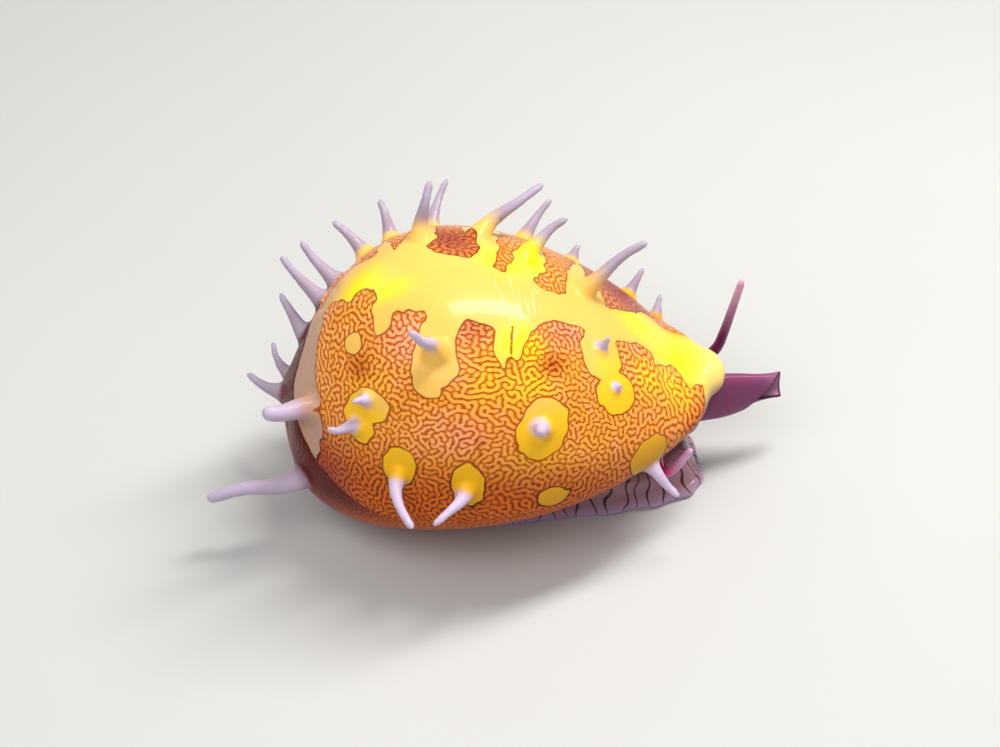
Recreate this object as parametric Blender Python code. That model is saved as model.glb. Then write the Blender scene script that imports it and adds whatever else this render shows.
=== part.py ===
"""Egg cowrie snail, crawling, with its mantle spread over the shell: the solids of the body, life size.

Metres, +Z up. +X points to the head and +Y to the animal's left. The origin is on the floor, in the
middle of the sole.
"""

import math
from typing import NamedTuple

import bmesh
import bpy
from mathutils import Vector

MM = 0.001
COLLECTION = "Egg_cowrie"
CUTTERS = "Cutters"

GAP = 0.25 * MM
EYE_GAP = 0.08 * MM

# The mantle over the shell: an egg lying on its side, blunt behind, with a knob at the front.
MANTLE_LENGTH = 12.4 * MM
MANTLE_REAR_X = -6.2 * MM
MANTLE_AXIS_Z = 3.4 * MM
HALF_WIDTH = 4.5 * MM
HEIGHT_ABOVE_AXIS = 5.05 * MM
DEPTH_BELOW_AXIS = 2.9 * MM
KNOB_RADIUS = 0.6 * MM
KNOB_ROOT_LENGTH = 2.5 * MM
NECK_ABOVE_X = 4.5 * MM
NECK_ABOVE_LENGTH = 1.0 * MM
NECK_ABOVE_DIP = 0.24
NECK_BELOW_X = 5.3 * MM
NECK_BELOW_LENGTH = 0.6 * MM
NECK_BELOW_DIP = 0.15
REAR_LOBE_BULGE = 0.34 * MM
LEFT_LOBE_LARGER = 1.5
REAR_LOBE_OFFSET = 1.9 * MM
REAR_LOBE_WIDTH = 1.3 * MM
REAR_LOBE_HEIGHT = 2.0 * MM
MANTLE_SIDES = 60
MANTLE_RINGS = 40

# The two mantle lobes meet a little to the right of the back line.
SEAM_REAR_Y = -0.45 * MM
SEAM_FRONT_Y = -1.0 * MM

# The foot: a flat sole with a thin margin and a low back that fits into the mantle.
FOOT_MIDDLE_X = 0.1 * MM
FOOT_HALF_LENGTH = 5.5 * MM
FOOT_HALF_WIDTH = 1.95 * MM
FOOT_HEIGHT = 1.05 * MM
FOOT_TAIL_NARROWING = 0.42
FOOT_FRONT_SQUARENESS = 4.2
FOOT_TAIL_SQUARENESS = 2.6
FOOT_SIDES = 56
FOOT_FRONT_CUT_X = 4.0 * MM
# Share of the height, and how much of the outline is left there.
FOOT_LEVELS = ((0.0, 0.97), (0.14, 1.0), (0.32, 0.95), (0.5, 0.86), (0.85, 0.8), (1.0, 0.72))

# The head: neck, snout and the swellings at the roots of the tentacles.
NECK_CENTRE = Vector((3.9, 0.0, 1.7)) * MM
NECK_RADII = Vector((1.4, 1.1, 0.8)) * MM
SNOUT_CENTRE = Vector((4.95, 0.0, 1.68)) * MM
SNOUT_RADII = Vector((0.62, 0.58, 0.46)) * MM
MOUTH_RADII = Vector((0.14, 0.22, 0.07)) * MM
SWELLING_CENTRE = Vector((4.15, 0.88, 1.78)) * MM
SWELLING_RADII = Vector((0.44, 0.42, 0.4)) * MM
EYE_RADIUS = 0.17 * MM
EYE_DIRECTION = Vector((0.55, 0.85, 0.25))

# The siphon: a tall, flattened tube that leaves under the knob.
SIPHON_ROOT = Vector((5.0, 0.2, 2.1)) * MM
SIPHON_TIP = Vector((7.97, 0.2, 2.38)) * MM
SIPHON_ROOT_HEIGHT = 0.82 * MM
SIPHON_TIP_HEIGHT = 0.42 * MM
SIPHON_ROOT_THICKNESS = 0.42 * MM
SIPHON_TIP_THICKNESS = 0.27 * MM
SIPHON_SLIT_WIDTH = 0.16 * MM
SIPHON_SLIT_DEPTH = 0.3 * MM
SIPHON_MOUTH_RADII = Vector((0.5, 0.14, 0.28)) * MM
SIPHON_SIDES = 20
SIPHON_RINGS = 8

# Tentacles: the route of each and the thickness at its two ends.
LEFT_TENTACLE = (
    (4.15, 0.88, 1.78),
    (4.8, 1.45, 1.88),
    (5.5, 1.82, 1.95),
    (6.1, 1.94, 2.12),
    (6.48, 1.97, 2.5),
    (6.67, 1.98, 3.1),
    (6.8, 1.97, 3.7),
    (6.93, 1.94, 4.35),
    (7.04, 1.9, 4.95),
)
RIGHT_TENTACLE = (
    (4.15, -0.88, 1.78),
    (3.98, -1.5, 1.78),
    (3.95, -2.0, 1.74),
    (4.08, -2.28, 1.82),
    (4.38, -2.34, 2.1),
    (4.75, -2.26, 2.56),
)
TENTACLE_ROOT_RADIUS = 0.27 * MM
TENTACLE_TIP_RADIUS = 0.14 * MM
TENTACLE_END = 0.12 * MM

# Papillae: the share of the length from root to tip, and the radius there.
PAPILLA_PROFILE = (
    (0.0, 0.35 * MM),
    (0.3, 0.27 * MM),
    (0.65, 0.21 * MM),
    (0.93, 0.15 * MM),
    (1.0, 0.08 * MM),
)
PAPILLA_SUNK = 0.55 * MM
CURVE_SIDES = 1


class Papilla(NamedTuple):
    """One papilla and the place on the mantle that it grows from.

    share runs from 0 at the rear to 1 at the knob, and turn in degrees from the back line, positive to
    the animal's right. length is in millimetres. fore and down are the degrees that it leans towards
    the head and away from the back line, curl bends its tip towards the head, and stout scales its
    thickness.
    """

    share: float
    turn: float
    length: float
    fore: float = 0.0
    down: float = 0.0
    curl: float = 0.0
    stout: float = 1.0


LEFT_PAPILLAE = (
    Papilla(0.015, -92, 1.3, 15, 15, 25),
    Papilla(0.03, -86, 0.95, 5, -12, 34, 0.85),
    Papilla(0.055, -45, 1.25, 28, 0, 5),
    Papilla(0.10, -37, 1.65, 5, 0, 8),
    Papilla(0.136, -42, 1.5, 0, 0, 8),
    Papilla(0.206, -41, 1.3, 0, 0, -8),
    Papilla(0.27, -46, 1.25, 14, 0, -4),
    Papilla(0.32, -18, 1.5, 10, 5, 10, 1.1),
    Papilla(0.365, -48, 1.5, 13, 5, 14, 0.9),
    Papilla(0.45, -19, 1.95, 34, 20, 16, 1.1),
    Papilla(0.57, -41, 1.35, 10, 4, 8, 0.9),
    Papilla(0.56, -16, 1.3, 14, 7, 12),
    Papilla(0.67, -3, 2.2, 4, 2, 10, 1.1),
    Papilla(0.68, -44, 0.5, 0, 0, 0, 0.85),
    Papilla(0.81, -52, 0.9, -6, 0, 0, 0.85),
    Papilla(0.875, -73, 0.8, -20, 5, 0, 0.8),
    Papilla(0.07, -115, 1.7, -15, 5, 10),
    Papilla(0.22, -84, 1.1, -10, 10, 8),
    Papilla(0.30, -112, 1.2, 10, 10, -6),
    Papilla(0.42, -82, 1.0, -12, 10, 6),
    Papilla(0.50, -108, 1.25, 15, 5, -6),
    Papilla(0.62, -84, 1.0, 10, 10, 8),
    Papilla(0.74, -108, 1.1, 5, 0, 6),
)
RIGHT_PAPILLAE = (
    Papilla(0.025, 118, 2.6, -16, 3, -8, 1.15),
    Papilla(0.045, 47, 1.5, 0, 0, 0, 1.3),
    Papilla(0.31, 36, 1.5, -9, -12, -10, 1.1),
    Papilla(0.68, 27, 0.55, -20, 5, 0, 0.95),
    Papilla(0.70, 44, 0.35, -15, 5, 0, 0.85),
    Papilla(0.52, 61, 1.1, -25, -8, 0, 1.15),
    Papilla(0.133, 60, 1.0, -8, -10, -6, 0.9),
    Papilla(0.16, 49, 0.6, -9, 0, 0, 0.8),
    Papilla(0.21, 78, 1.5, 22, 26, 10, 1.1),
    Papilla(0.35, 82, 1.2, -28, 12, -8),
    Papilla(0.78, 109, 1.15, 3, 0, 4, 0.95),
)


def egg(share, rear, front):
    """Share of the greatest radius at this share of the length; the powers set how blunt each end is."""
    peak = rear / (rear + front)
    return (share / peak) ** rear * ((1 - share) / (1 - peak)) ** front


def smooth_step(value):
    value = min(max(value, 0.0), 1.0)
    return value * value * (3 - 2 * value)


def bell(value, middle, width):
    return math.exp(-(((value - middle) / width) ** 2))


def mantle_point(share, turn, extra=0.0):
    """Point of the mantle's surface, or of one lying outside it by about extra."""
    along = MANTLE_LENGTH * share
    x = MANTLE_REAR_X + along
    neck_above = 1 - NECK_ABOVE_DIP * bell(x, NECK_ABOVE_X, NECK_ABOVE_LENGTH)
    neck_below = 1 - NECK_BELOW_DIP * bell(x, NECK_BELOW_X, NECK_BELOW_LENGTH)
    wide = HALF_WIDTH * egg(share, 0.525, 0.676) * neck_below
    above = HEIGHT_ABOVE_AXIS * egg(share, 0.63, 1.227) * neck_above
    below = DEPTH_BELOW_AXIS * egg(share, 0.2, 0.765) * neck_below
    past_knob_middle = along - (MANTLE_LENGTH - KNOB_RADIUS)
    if past_knob_middle > 0:
        knob = math.sqrt(max(KNOB_RADIUS**2 - past_knob_middle**2, 0.0))
    else:
        knob = KNOB_RADIUS * max(1 + past_knob_middle / KNOB_ROOT_LENGTH, 0.0)
    wide, above, below = (((size**3 + knob**3) ** (1 / 3) + extra) for size in (wide, above, below))
    # Sections are a little square in the middle above and at the rear below, and pointed elsewhere.
    sideways = -math.sin(turn)
    up = math.cos(turn)
    rearward = smooth_step((0.35 - share) / 0.33)
    power = 2.1 - 0.25 * rearward if up > 0 else 1.9 + 0.35 * rearward
    reach = (abs(sideways) ** power + abs(up) ** power) ** (-1 / power)
    y = wide * sideways * reach
    z = (above if up > 0 else below) * up * reach
    lobe = REAR_LOBE_BULGE * bell(abs(y), REAR_LOBE_OFFSET, REAR_LOBE_WIDTH)
    lobe *= LEFT_LOBE_LARGER if y > 0 else 1.0
    lobe *= math.exp(-share / 0.03) * bell(z, -0.5 * MM, REAR_LOBE_HEIGHT)
    stretched = x - lobe + extra * (2 * share - 1)
    return Vector((stretched, y, MANTLE_AXIS_Z + z))


def mantle_axes(share, turn):
    """Point on the mantle with its outward, forward and downward directions."""
    step = 0.002
    here = mantle_point(share, turn)
    forward = (mantle_point(share + step, turn) - mantle_point(share - step, turn)).normalized()
    side = 1 if turn >= 0 else -1
    down = (mantle_point(share, turn + side * step) - mantle_point(share, turn - side * step)).normalized()
    outward = down.cross(forward).normalized() * side
    return here, outward, forward, down


def new_collection(name):
    made = bpy.data.collections.new(name)
    bpy.context.scene.collection.children.link(made)
    return made


def mesh_object(name, shape, collection):
    """Turns a bmesh into an object whose faces point out."""
    bmesh.ops.recalc_face_normals(shape, faces=shape.faces)
    mesh = bpy.data.meshes.new(name)
    shape.to_mesh(mesh)
    shape.free()
    made = bpy.data.objects.new(name, mesh)
    collection.objects.link(made)
    return made


def mantle_shape(name, collection, extra=0.0):
    """A sphere with its poles at the two ends, drawn out to the mantle's surface."""
    shape = bmesh.new()
    bmesh.ops.create_uvsphere(shape, u_segments=MANTLE_SIDES, v_segments=MANTLE_RINGS, radius=1)
    for vertex in shape.verts:
        share = min(max((1 + vertex.co.z) / 2, 0.0), 1.0)
        turn = math.atan2(vertex.co.x, vertex.co.y)
        vertex.co = mantle_point(share, turn, extra)
    return mesh_object(name, shape, collection)


def ellipsoid(name, collection, centre, radii, extra=0.0, sides=28, rings=18):
    shape = bmesh.new()
    bmesh.ops.create_uvsphere(shape, u_segments=sides, v_segments=rings, radius=1)
    for vertex in shape.verts:
        vertex.co = centre + Vector(c * (r + extra) for c, r in zip(vertex.co, radii))
    return mesh_object(name, shape, collection)


def box(name, collection, centre, size, turn_z=0.0):
    shape = bmesh.new()
    bmesh.ops.create_cube(shape, size=1)
    for vertex in shape.verts:
        vertex.co = Vector(c * s for c, s in zip(vertex.co, size))
    made = mesh_object(name, shape, collection)
    made.location = centre
    made.rotation_euler.z = turn_z
    return made


def power_of(value, power):
    return math.copysign(abs(value) ** power, value)


def foot_shape(name, collection, extra=0.0):
    """A cylinder with a ring at each level, drawn out to the outline of the foot."""
    shape = bmesh.new()
    bmesh.ops.create_cone(shape, cap_ends=True, segments=FOOT_SIDES, radius1=1, radius2=1, depth=1)
    bmesh.ops.translate(shape, verts=shape.verts, vec=(0, 0, 0.5))
    for level, _ in FOOT_LEVELS[1:-1]:
        parts = shape.verts[:] + shape.edges[:] + shape.faces[:]
        bmesh.ops.bisect_plane(shape, geom=parts, dist=1e-6, plane_co=(0, 0, level), plane_no=(0, 0, 1))
    left = {round(level, 3): share for level, share in FOOT_LEVELS}
    for vertex in shape.verts:
        inset = left[round(vertex.co.z, 3)]
        squareness = FOOT_FRONT_SQUARENESS if vertex.co.x > 0 else FOOT_TAIL_SQUARENESS
        ahead = power_of(vertex.co.x, 2 / squareness)
        aside = power_of(vertex.co.y, 2 / squareness)
        narrow = 1 - FOOT_TAIL_NARROWING * smooth_step(-ahead)
        x = FOOT_MIDDLE_X + ahead * (FOOT_HALF_LENGTH * (0.6 + 0.4 * inset) + extra)
        y = aside * (FOOT_HALF_WIDTH * inset * narrow + extra)
        # A copy made for clearance reaches under the sole as well.
        z = vertex.co.z * (FOOT_HEIGHT + 2 * extra) - extra
        vertex.co = (x, y, z)
    return mesh_object(name, shape, collection)


def siphon_shape(name, collection):
    """A cylinder laid along the siphon, taller than thick, narrowing to a rounded end."""
    shape = bmesh.new()
    bmesh.ops.create_cone(shape, cap_ends=True, segments=SIPHON_SIDES, radius1=1, radius2=1, depth=1)
    bmesh.ops.translate(shape, verts=shape.verts, vec=(0, 0, 0.5))
    for ring in range(1, SIPHON_RINGS):
        parts = shape.verts[:] + shape.edges[:] + shape.faces[:]
        level = ring / SIPHON_RINGS
        bmesh.ops.bisect_plane(shape, geom=parts, dist=1e-6, plane_co=(0, 0, level), plane_no=(0, 0, 1))
    for vertex in shape.verts:
        share = vertex.co.z
        height = SIPHON_ROOT_HEIGHT + (SIPHON_TIP_HEIGHT - SIPHON_ROOT_HEIGHT) * share**1.5
        thickness = SIPHON_ROOT_THICKNESS + (SIPHON_TIP_THICKNESS - SIPHON_ROOT_THICKNESS) * share
        centre = SIPHON_ROOT.lerp(SIPHON_TIP, share)
        vertex.co = centre + Vector((0, thickness * vertex.co.x, height * vertex.co.y))
    return mesh_object(name, shape, collection)


def tube_mesh(name, collection, points, radii):
    """A tube through the points, with a radius for each, as a closed mesh."""
    curve = bpy.data.curves.new(name, "CURVE")
    curve.dimensions = "3D"
    curve.bevel_depth = 1.0
    curve.bevel_resolution = CURVE_SIDES
    curve.use_fill_caps = True
    spline = curve.splines.new("POLY")
    spline.points.add(len(points) - 1)
    for place, point, radius in zip(spline.points, points, radii):
        place.co = (*point, 1)
        place.radius = radius
    source = bpy.data.objects.new(name + "_curve", curve)
    collection.objects.link(source)
    bpy.context.view_layer.update()
    graph = bpy.context.evaluated_depsgraph_get()
    mesh = bpy.data.meshes.new_from_object(source.evaluated_get(graph))
    shape = bmesh.new()
    shape.from_mesh(mesh)
    bmesh.ops.remove_doubles(shape, verts=shape.verts, dist=0.001 * MM)
    made = mesh_object(name, shape, collection)
    made.matrix_world = source.matrix_world.copy()
    bpy.data.objects.remove(source)
    bpy.data.curves.remove(curve)
    bpy.data.meshes.remove(mesh)
    return made


def papilla_mesh(name, collection, papilla):
    """A tapering finger that starts inside the mantle and bends along its length."""
    root, outward, forward, down = mantle_axes(papilla.share, math.radians(papilla.turn))
    lean = outward + forward * math.tan(math.radians(papilla.fore))
    lean = (lean + down * math.tan(math.radians(papilla.down))).normalized()
    length = papilla.length * MM
    points = [root - outward * PAPILLA_SUNK]
    radii = [PAPILLA_PROFILE[0][1] * papilla.stout]
    for share, radius in PAPILLA_PROFILE:
        bend = forward * (length * math.tan(math.radians(papilla.curl)) * share**2)
        points.append(root + lean * (length * share) + bend)
        radii.append(radius * papilla.stout)
    return tube_mesh(name, collection, points, radii)


def tentacle_mesh(name, collection, route):
    """A long finger that narrows evenly along its route and ends in a short rounded tip."""
    points = [Vector(point) * MM for point in route]
    last = len(points) - 1
    radii = []
    for index in range(len(points)):
        share = index / last
        radii.append(TENTACLE_ROOT_RADIUS + (TENTACLE_TIP_RADIUS - TENTACLE_ROOT_RADIUS) * share)
    ending = (points[-1] - points[-2]).normalized()
    points.append(points[-1] + ending * TENTACLE_END)
    radii.append(TENTACLE_TIP_RADIUS / 2)
    return tube_mesh(name, collection, points, radii)


def bake(target):
    """Replaces the object's mesh by the one its modifiers make."""
    bpy.context.view_layer.update()
    graph = bpy.context.evaluated_depsgraph_get()
    mesh = bpy.data.meshes.new_from_object(target.evaluated_get(graph))
    plain = target.data
    target.modifiers.clear()
    target.data = mesh
    bpy.data.meshes.remove(plain)


def cut(target, cutter):
    modifier = target.modifiers.new("Cut", "BOOLEAN")
    modifier.operation = "DIFFERENCE"
    modifier.solver = "EXACT"
    modifier.object = cutter
    bake(target)


def join(target, pieces):
    """Unites the object with every object of the collection, and removes those."""
    modifier = target.modifiers.new("Join", "BOOLEAN")
    modifier.operation = "UNION"
    modifier.solver = "EXACT"
    modifier.operand_type = "COLLECTION"
    modifier.collection = pieces
    bake(target)
    for piece in list(pieces.objects):
        bpy.data.objects.remove(piece)
    bpy.data.collections.remove(pieces)


def keep_largest(target):
    """Keeps only the connected surface that encloses the most, and triangulates it."""
    shape = bmesh.new()
    shape.from_mesh(target.data)
    bmesh.ops.triangulate(shape, faces=shape.faces)
    left = set(shape.faces)
    kept = set()
    kept_volume = -1.0
    while left:
        waiting = [left.pop()]
        surface = set()
        while waiting:
            face = waiting.pop()
            surface.add(face)
            for edge in face.edges:
                beside = [other for other in edge.link_faces if other in left]
                left.difference_update(beside)
                waiting.extend(beside)
        volume = 0.0
        for face in surface:
            a, b, c = (vertex.co for vertex in face.verts)
            volume += a.dot(b.cross(c)) / 6
        if volume > kept_volume:
            kept = surface
            kept_volume = volume
    doomed = [face for face in shape.faces if face not in kept]
    bmesh.ops.delete(shape, geom=doomed, context="FACES")
    shape.to_mesh(target.data)
    shape.free()


def material(name, colour, roughness):
    made = bpy.data.materials.new(name)
    made.use_nodes = True
    shader = made.node_tree.nodes["Principled BSDF"]
    shader.inputs["Base Color"].default_value = (*colour, 1)
    shader.inputs["Roughness"].default_value = roughness
    shader.inputs["Metallic"].default_value = 0.0
    return made


def finish(target, coat):
    target.data.materials.clear()
    target.data.materials.append(coat)
    target.data.shade_smooth()
    target.data.set_sharp_from_angle(angle=math.radians(40))


def build_mantle(parts, seam, foot_room):
    """The two lobes, each with its papillae."""
    coat = material("mantle_flesh", (0.85, 0.33, 0.06), 0.35)
    for side, papillae in (("left", LEFT_PAPILLAE), ("right", RIGHT_PAPILLAE)):
        name = "mantle_" + side
        lobe = mantle_shape(name, parts)
        cut(lobe, seam[side])
        cut(lobe, foot_room)
        keep_largest(lobe)
        pieces = new_collection(name + "_papillae")
        for index, papilla in enumerate(papillae):
            papilla_mesh(f"papilla_{side}_{index}", pieces, papilla)
        join(lobe, pieces)
        keep_largest(lobe)
        finish(lobe, coat)


def seam_cutters(cutters):
    """For each lobe, a block that takes away the other lobe and half of the gap."""
    run = MANTLE_LENGTH
    fall = SEAM_FRONT_Y - SEAM_REAR_Y
    slant = math.atan2(fall, run)
    middle_y = (SEAM_FRONT_Y + SEAM_REAR_Y) / 2
    size = Vector((3, 1, 3)) * run
    made = {}
    for side, sign in (("left", -1), ("right", 1)):
        across = sign * (size.y / 2 - GAP / 2)
        centre = Vector((-math.sin(slant) * across, middle_y + math.cos(slant) * across, MANTLE_AXIS_Z))
        made[side] = box("cut_for_" + side, cutters, centre, size, slant)
    return made


def mirrored(point, side):
    return Vector((point.x, point.y * side, point.z))


def head_pieces(collection, extra=0.0):
    """Neck, snout and both swellings, each as its own closed mesh."""
    ellipsoid("snout", collection, SNOUT_CENTRE, SNOUT_RADII, extra)
    for side in (1, -1):
        place = mirrored(SWELLING_CENTRE, side)
        ellipsoid(f"swelling_{side}", collection, place, SWELLING_RADII, extra, 20, 14)


def eye_place(side):
    direction = EYE_DIRECTION.normalized()
    reach = Vector(d * r for d, r in zip(direction, SWELLING_RADII))
    return mirrored(SWELLING_CENTRE + reach, side)


def build_head(parts, cutters, room):
    head = ellipsoid("head", parts, NECK_CENTRE, NECK_RADII)
    pieces = new_collection("head_pieces")
    head_pieces(pieces)
    join(head, pieces)
    cut(head, room["mantle"])
    cut(head, room["foot"])
    mouth_place = SNOUT_CENTRE + Vector((SNOUT_RADII.x, 0, -0.3 * SNOUT_RADII.z))
    cut(head, ellipsoid("mouth", cutters, mouth_place, MOUTH_RADII, 0, 16, 10))
    for side in (1, -1):
        socket_radii = Vector((1, 1, 1)) * (EYE_RADIUS + EYE_GAP)
        cut(head, ellipsoid(f"socket_{side}", cutters, eye_place(side), socket_radii, 0, 16, 10))
    keep_largest(head)
    finish(head, material("head_flesh", (0.42, 0.2, 0.34), 0.35))


def build_eyes(parts):
    coat = material("eye_black", (0.01, 0.008, 0.012), 0.08)
    for name, side in (("eye_left", 1), ("eye_right", -1)):
        eye = ellipsoid(name, parts, eye_place(side), Vector((1, 1, 1)) * EYE_RADIUS, 0, 16, 10)
        finish(eye, coat)


def build_tentacles(parts, room):
    coat = material("tentacle_flesh", (0.45, 0.1, 0.35), 0.35)
    for name, route in (("tentacle_left", LEFT_TENTACLE), ("tentacle_right", RIGHT_TENTACLE)):
        tentacle = tentacle_mesh(name, parts, route)
        cut(tentacle, room["head"])
        keep_largest(tentacle)
        finish(tentacle, coat)


def build_siphon(parts, cutters, room):
    siphon = siphon_shape("siphon", parts)
    cut(siphon, room["head"])
    cut(siphon, room["mantle"])
    along = SIPHON_TIP - SIPHON_ROOT
    slit_size = Vector((along.length, SIPHON_SLIT_WIDTH, 2 * SIPHON_SLIT_DEPTH))
    slit = box("slit", cutters, SIPHON_TIP + Vector((0, 0, -SIPHON_TIP_HEIGHT)), slit_size)
    slit.rotation_euler.y = -math.atan2(0.62 * MM, along.length)
    cut(siphon, slit)
    cut(siphon, ellipsoid("siphon_mouth", cutters, SIPHON_TIP, SIPHON_MOUTH_RADII, 0, 16, 12))
    keep_largest(siphon)
    finish(siphon, material("siphon_flesh", (0.32, 0.08, 0.22), 0.3))


def build_foot(parts, cutters):
    coat = material("foot_flesh", (0.5, 0.3, 0.42), 0.35)
    length = 4 * FOOT_HALF_LENGTH
    size = Vector((1, 1, 1)) * length
    for name, sign in (("foot", 1), ("foot_front", -1)):
        foot = foot_shape(name, parts)
        centre = Vector((FOOT_FRONT_CUT_X + sign * (length / 2 - GAP / 2), 0, 0))
        cut(foot, box("cut_for_" + name, cutters, centre, size))
        keep_largest(foot)
        finish(foot, coat)


def main():
    for item in list(bpy.data.objects):
        bpy.data.objects.remove(item)
    parts = new_collection(COLLECTION)
    cutters = new_collection(CUTTERS)

    room = {"foot": foot_shape("room_for_foot", cutters, GAP)}
    room["mantle"] = mantle_shape("room_for_mantle", cutters, GAP)
    room["head"] = ellipsoid("room_for_head", cutters, NECK_CENTRE, NECK_RADII, GAP)
    swollen = new_collection("room_for_head_pieces")
    head_pieces(swollen, GAP)
    join(room["head"], swollen)

    build_mantle(parts, seam_cutters(cutters), room["foot"])
    build_foot(parts, cutters)
    build_head(parts, cutters, room)
    build_eyes(parts)
    build_tentacles(parts, room)
    build_siphon(parts, cutters, room)

    for cutter in cutters.objects:
        cutter.hide_render = True
        cutter.display_type = "WIRE"


main()
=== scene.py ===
"""Egg cowrie snail, crawling, with its mantle spread over the shell: the living animal's flesh and colours.

Sizes in the classes are millimetres and pieces are modelled in them; a finished piece is put into metres,
in the frame of the solids: +X to the head, +Y to the animal's left, +Z up, the floor at zero.
"""

import logging
import math
from dataclasses import dataclass, field
from enum import Enum

import bpy
import numpy as np
from mathutils import Matrix, Vector


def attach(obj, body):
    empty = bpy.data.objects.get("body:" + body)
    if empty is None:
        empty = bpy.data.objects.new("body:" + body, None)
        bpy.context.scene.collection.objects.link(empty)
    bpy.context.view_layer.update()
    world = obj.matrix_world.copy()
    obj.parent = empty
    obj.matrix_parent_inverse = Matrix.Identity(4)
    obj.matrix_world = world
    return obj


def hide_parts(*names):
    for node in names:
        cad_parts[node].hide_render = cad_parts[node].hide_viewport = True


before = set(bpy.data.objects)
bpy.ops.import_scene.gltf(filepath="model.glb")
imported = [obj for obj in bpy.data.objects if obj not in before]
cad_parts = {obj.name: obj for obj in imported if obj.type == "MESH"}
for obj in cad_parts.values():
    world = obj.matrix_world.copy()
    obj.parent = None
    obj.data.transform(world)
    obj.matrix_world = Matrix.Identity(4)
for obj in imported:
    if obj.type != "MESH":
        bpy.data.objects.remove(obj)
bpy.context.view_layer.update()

LOG = logging.getLogger("egg_cowrie")
MM = 0.001
BODY = "root"

Pair = tuple[float, float]
Triple = tuple[float, float, float]
Colour = Triple
Array = np.ndarray
Mesh = bpy.types.Mesh
Piece = bpy.types.Object
Socket = bpy.types.NodeSocket


def rise(value: Array | float, start: float, end: float) -> Array:
    """A soft rise from 0 at the start to 1 at the end, or a fall where the start is the higher value."""
    held = np.clip((value - start) / round(end - start, 9), 0.0, 1.0)
    return held * held * (3 - 2 * held)


def bell(value: Array | float, middle: float, width: float) -> Array:
    """A hump of height 1 at the middle, about as wide as width on either side."""
    return np.exp(-(((value - middle) / width) ** 2))


def ripple(places: Array, wavelength: float, seed: int) -> Array:
    """An uneven, smooth value between about -1 and 1 over the places.

    Args:
        places: Points in millimetres, one row each.
        wavelength: Rough size of its humps in millimetres.
        seed: Fixes the draw.

    Returns:
        One value for each place.
    """
    draw = np.random.default_rng(seed)
    total = np.zeros(len(places))
    waves = 9
    for _ in range(waves):
        direction = draw.normal(size=3)
        direction *= 2 * math.pi / (wavelength * np.linalg.norm(direction) * draw.uniform(0.7, 1.4))
        total += np.sin(places @ direction + draw.uniform(0, 2 * math.pi))
    return total / math.sqrt(waves)


def pick(piece: Piece) -> None:
    """Leaves only this piece selected and active."""
    bpy.ops.object.select_all(action="DESELECT")
    piece.select_set(True)
    bpy.context.view_layer.objects.active = piece


def edit_all(piece: Piece) -> None:
    """Opens the piece in edit mode with everything selected."""
    pick(piece)
    bpy.ops.object.mode_set(mode="EDIT")
    bpy.ops.mesh.select_all(action="SELECT")


def close_edit() -> None:
    """Turns every face outward and leaves edit mode."""
    bpy.ops.mesh.select_all(action="SELECT")
    bpy.ops.mesh.normals_make_consistent(inside=False)
    bpy.ops.object.mode_set(mode="OBJECT")


def added(name: str) -> Piece:
    """The primitive that was just added, under its own name."""
    piece = bpy.context.view_layer.objects.active
    piece.name = name
    piece.data.name = name
    return piece


def apply_modifier(piece: Piece, kind: str, **settings: object) -> None:
    """Adds a modifier with these settings and applies it.

    Args:
        piece: Object to change.
        kind: Blender's name for the modifier type.
        settings: Values of its fields.
    """
    pick(piece)
    modifier = piece.modifiers.new(kind.title(), kind)
    for key, value in settings.items():
        setattr(modifier, key, value)
    bpy.ops.object.modifier_apply(modifier=modifier.name)


def weld(pieces: list[Piece], name: str, voxel: float, rounds: int) -> Piece:
    """Fuses overlapping closed pieces into one skin and softens the joins.

    Args:
        pieces: Closed meshes that overlap.
        name: Name of the skin.
        voxel: Size of the skin's faces in millimetres.
        rounds: How often the skin is smoothed.

    Returns:
        The skin.
    """
    pick(pieces[0])
    for piece in pieces:
        piece.select_set(True)
    bpy.ops.object.join()
    skin = added(name)
    bpy.ops.object.transform_apply(location=True, rotation=True, scale=True)
    apply_modifier(skin, "REMESH", mode="VOXEL", voxel_size=voxel, adaptivity=0.0)
    apply_modifier(skin, "SMOOTH", factor=0.5, iterations=rounds)
    return skin


def read_points(mesh: Mesh) -> Array:
    """The mesh's vertices, one row each."""
    flat = np.empty(len(mesh.vertices) * 3, np.float32)
    mesh.vertices.foreach_get("co", flat)
    return flat.reshape(-1, 3).astype(float)


def write_points(mesh: Mesh, places: Array) -> None:
    """Moves the mesh's vertices to these places."""
    mesh.vertices.foreach_set("co", places.astype(np.float32).ravel())
    mesh.update()


def read_normals(mesh: Mesh) -> Array:
    """The outward direction at each vertex, one row each."""
    flat = np.empty(len(mesh.vertices) * 3, np.float32)
    mesh.vertex_normals.foreach_get("vector", flat)
    return flat.reshape(-1, 3).astype(float)


def read_whole(parts: bpy.types.bpy_prop_collection, name: str, columns: int) -> Array:
    """Whole numbers kept with each part of a mesh, one row for each part."""
    flat = np.empty(len(parts) * columns, np.int32)
    parts.foreach_get(name, flat)
    return flat.reshape(-1, columns).astype(np.int64)


def store(mesh: Mesh, name: str, values: Array, domain: str = "POINT") -> None:
    """Keeps values in the mesh under a name that materials read.

    Args:
        mesh: Mesh that keeps them.
        name: Name of the layer.
        values: One value, or a row of three or four, for each part.
        domain: Blender's name for the kind of part: POINT, CORNER or FACE.
    """
    columns = 1 if values.ndim == 1 else values.shape[1]
    kind, slot = {1: ("FLOAT", "value"), 3: ("FLOAT_VECTOR", "vector"), 4: ("FLOAT_COLOR", "color")}[columns]
    layer = mesh.attributes.new(name, kind, domain)
    layer.data.foreach_set(slot, values.astype(np.float32).ravel())


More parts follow.
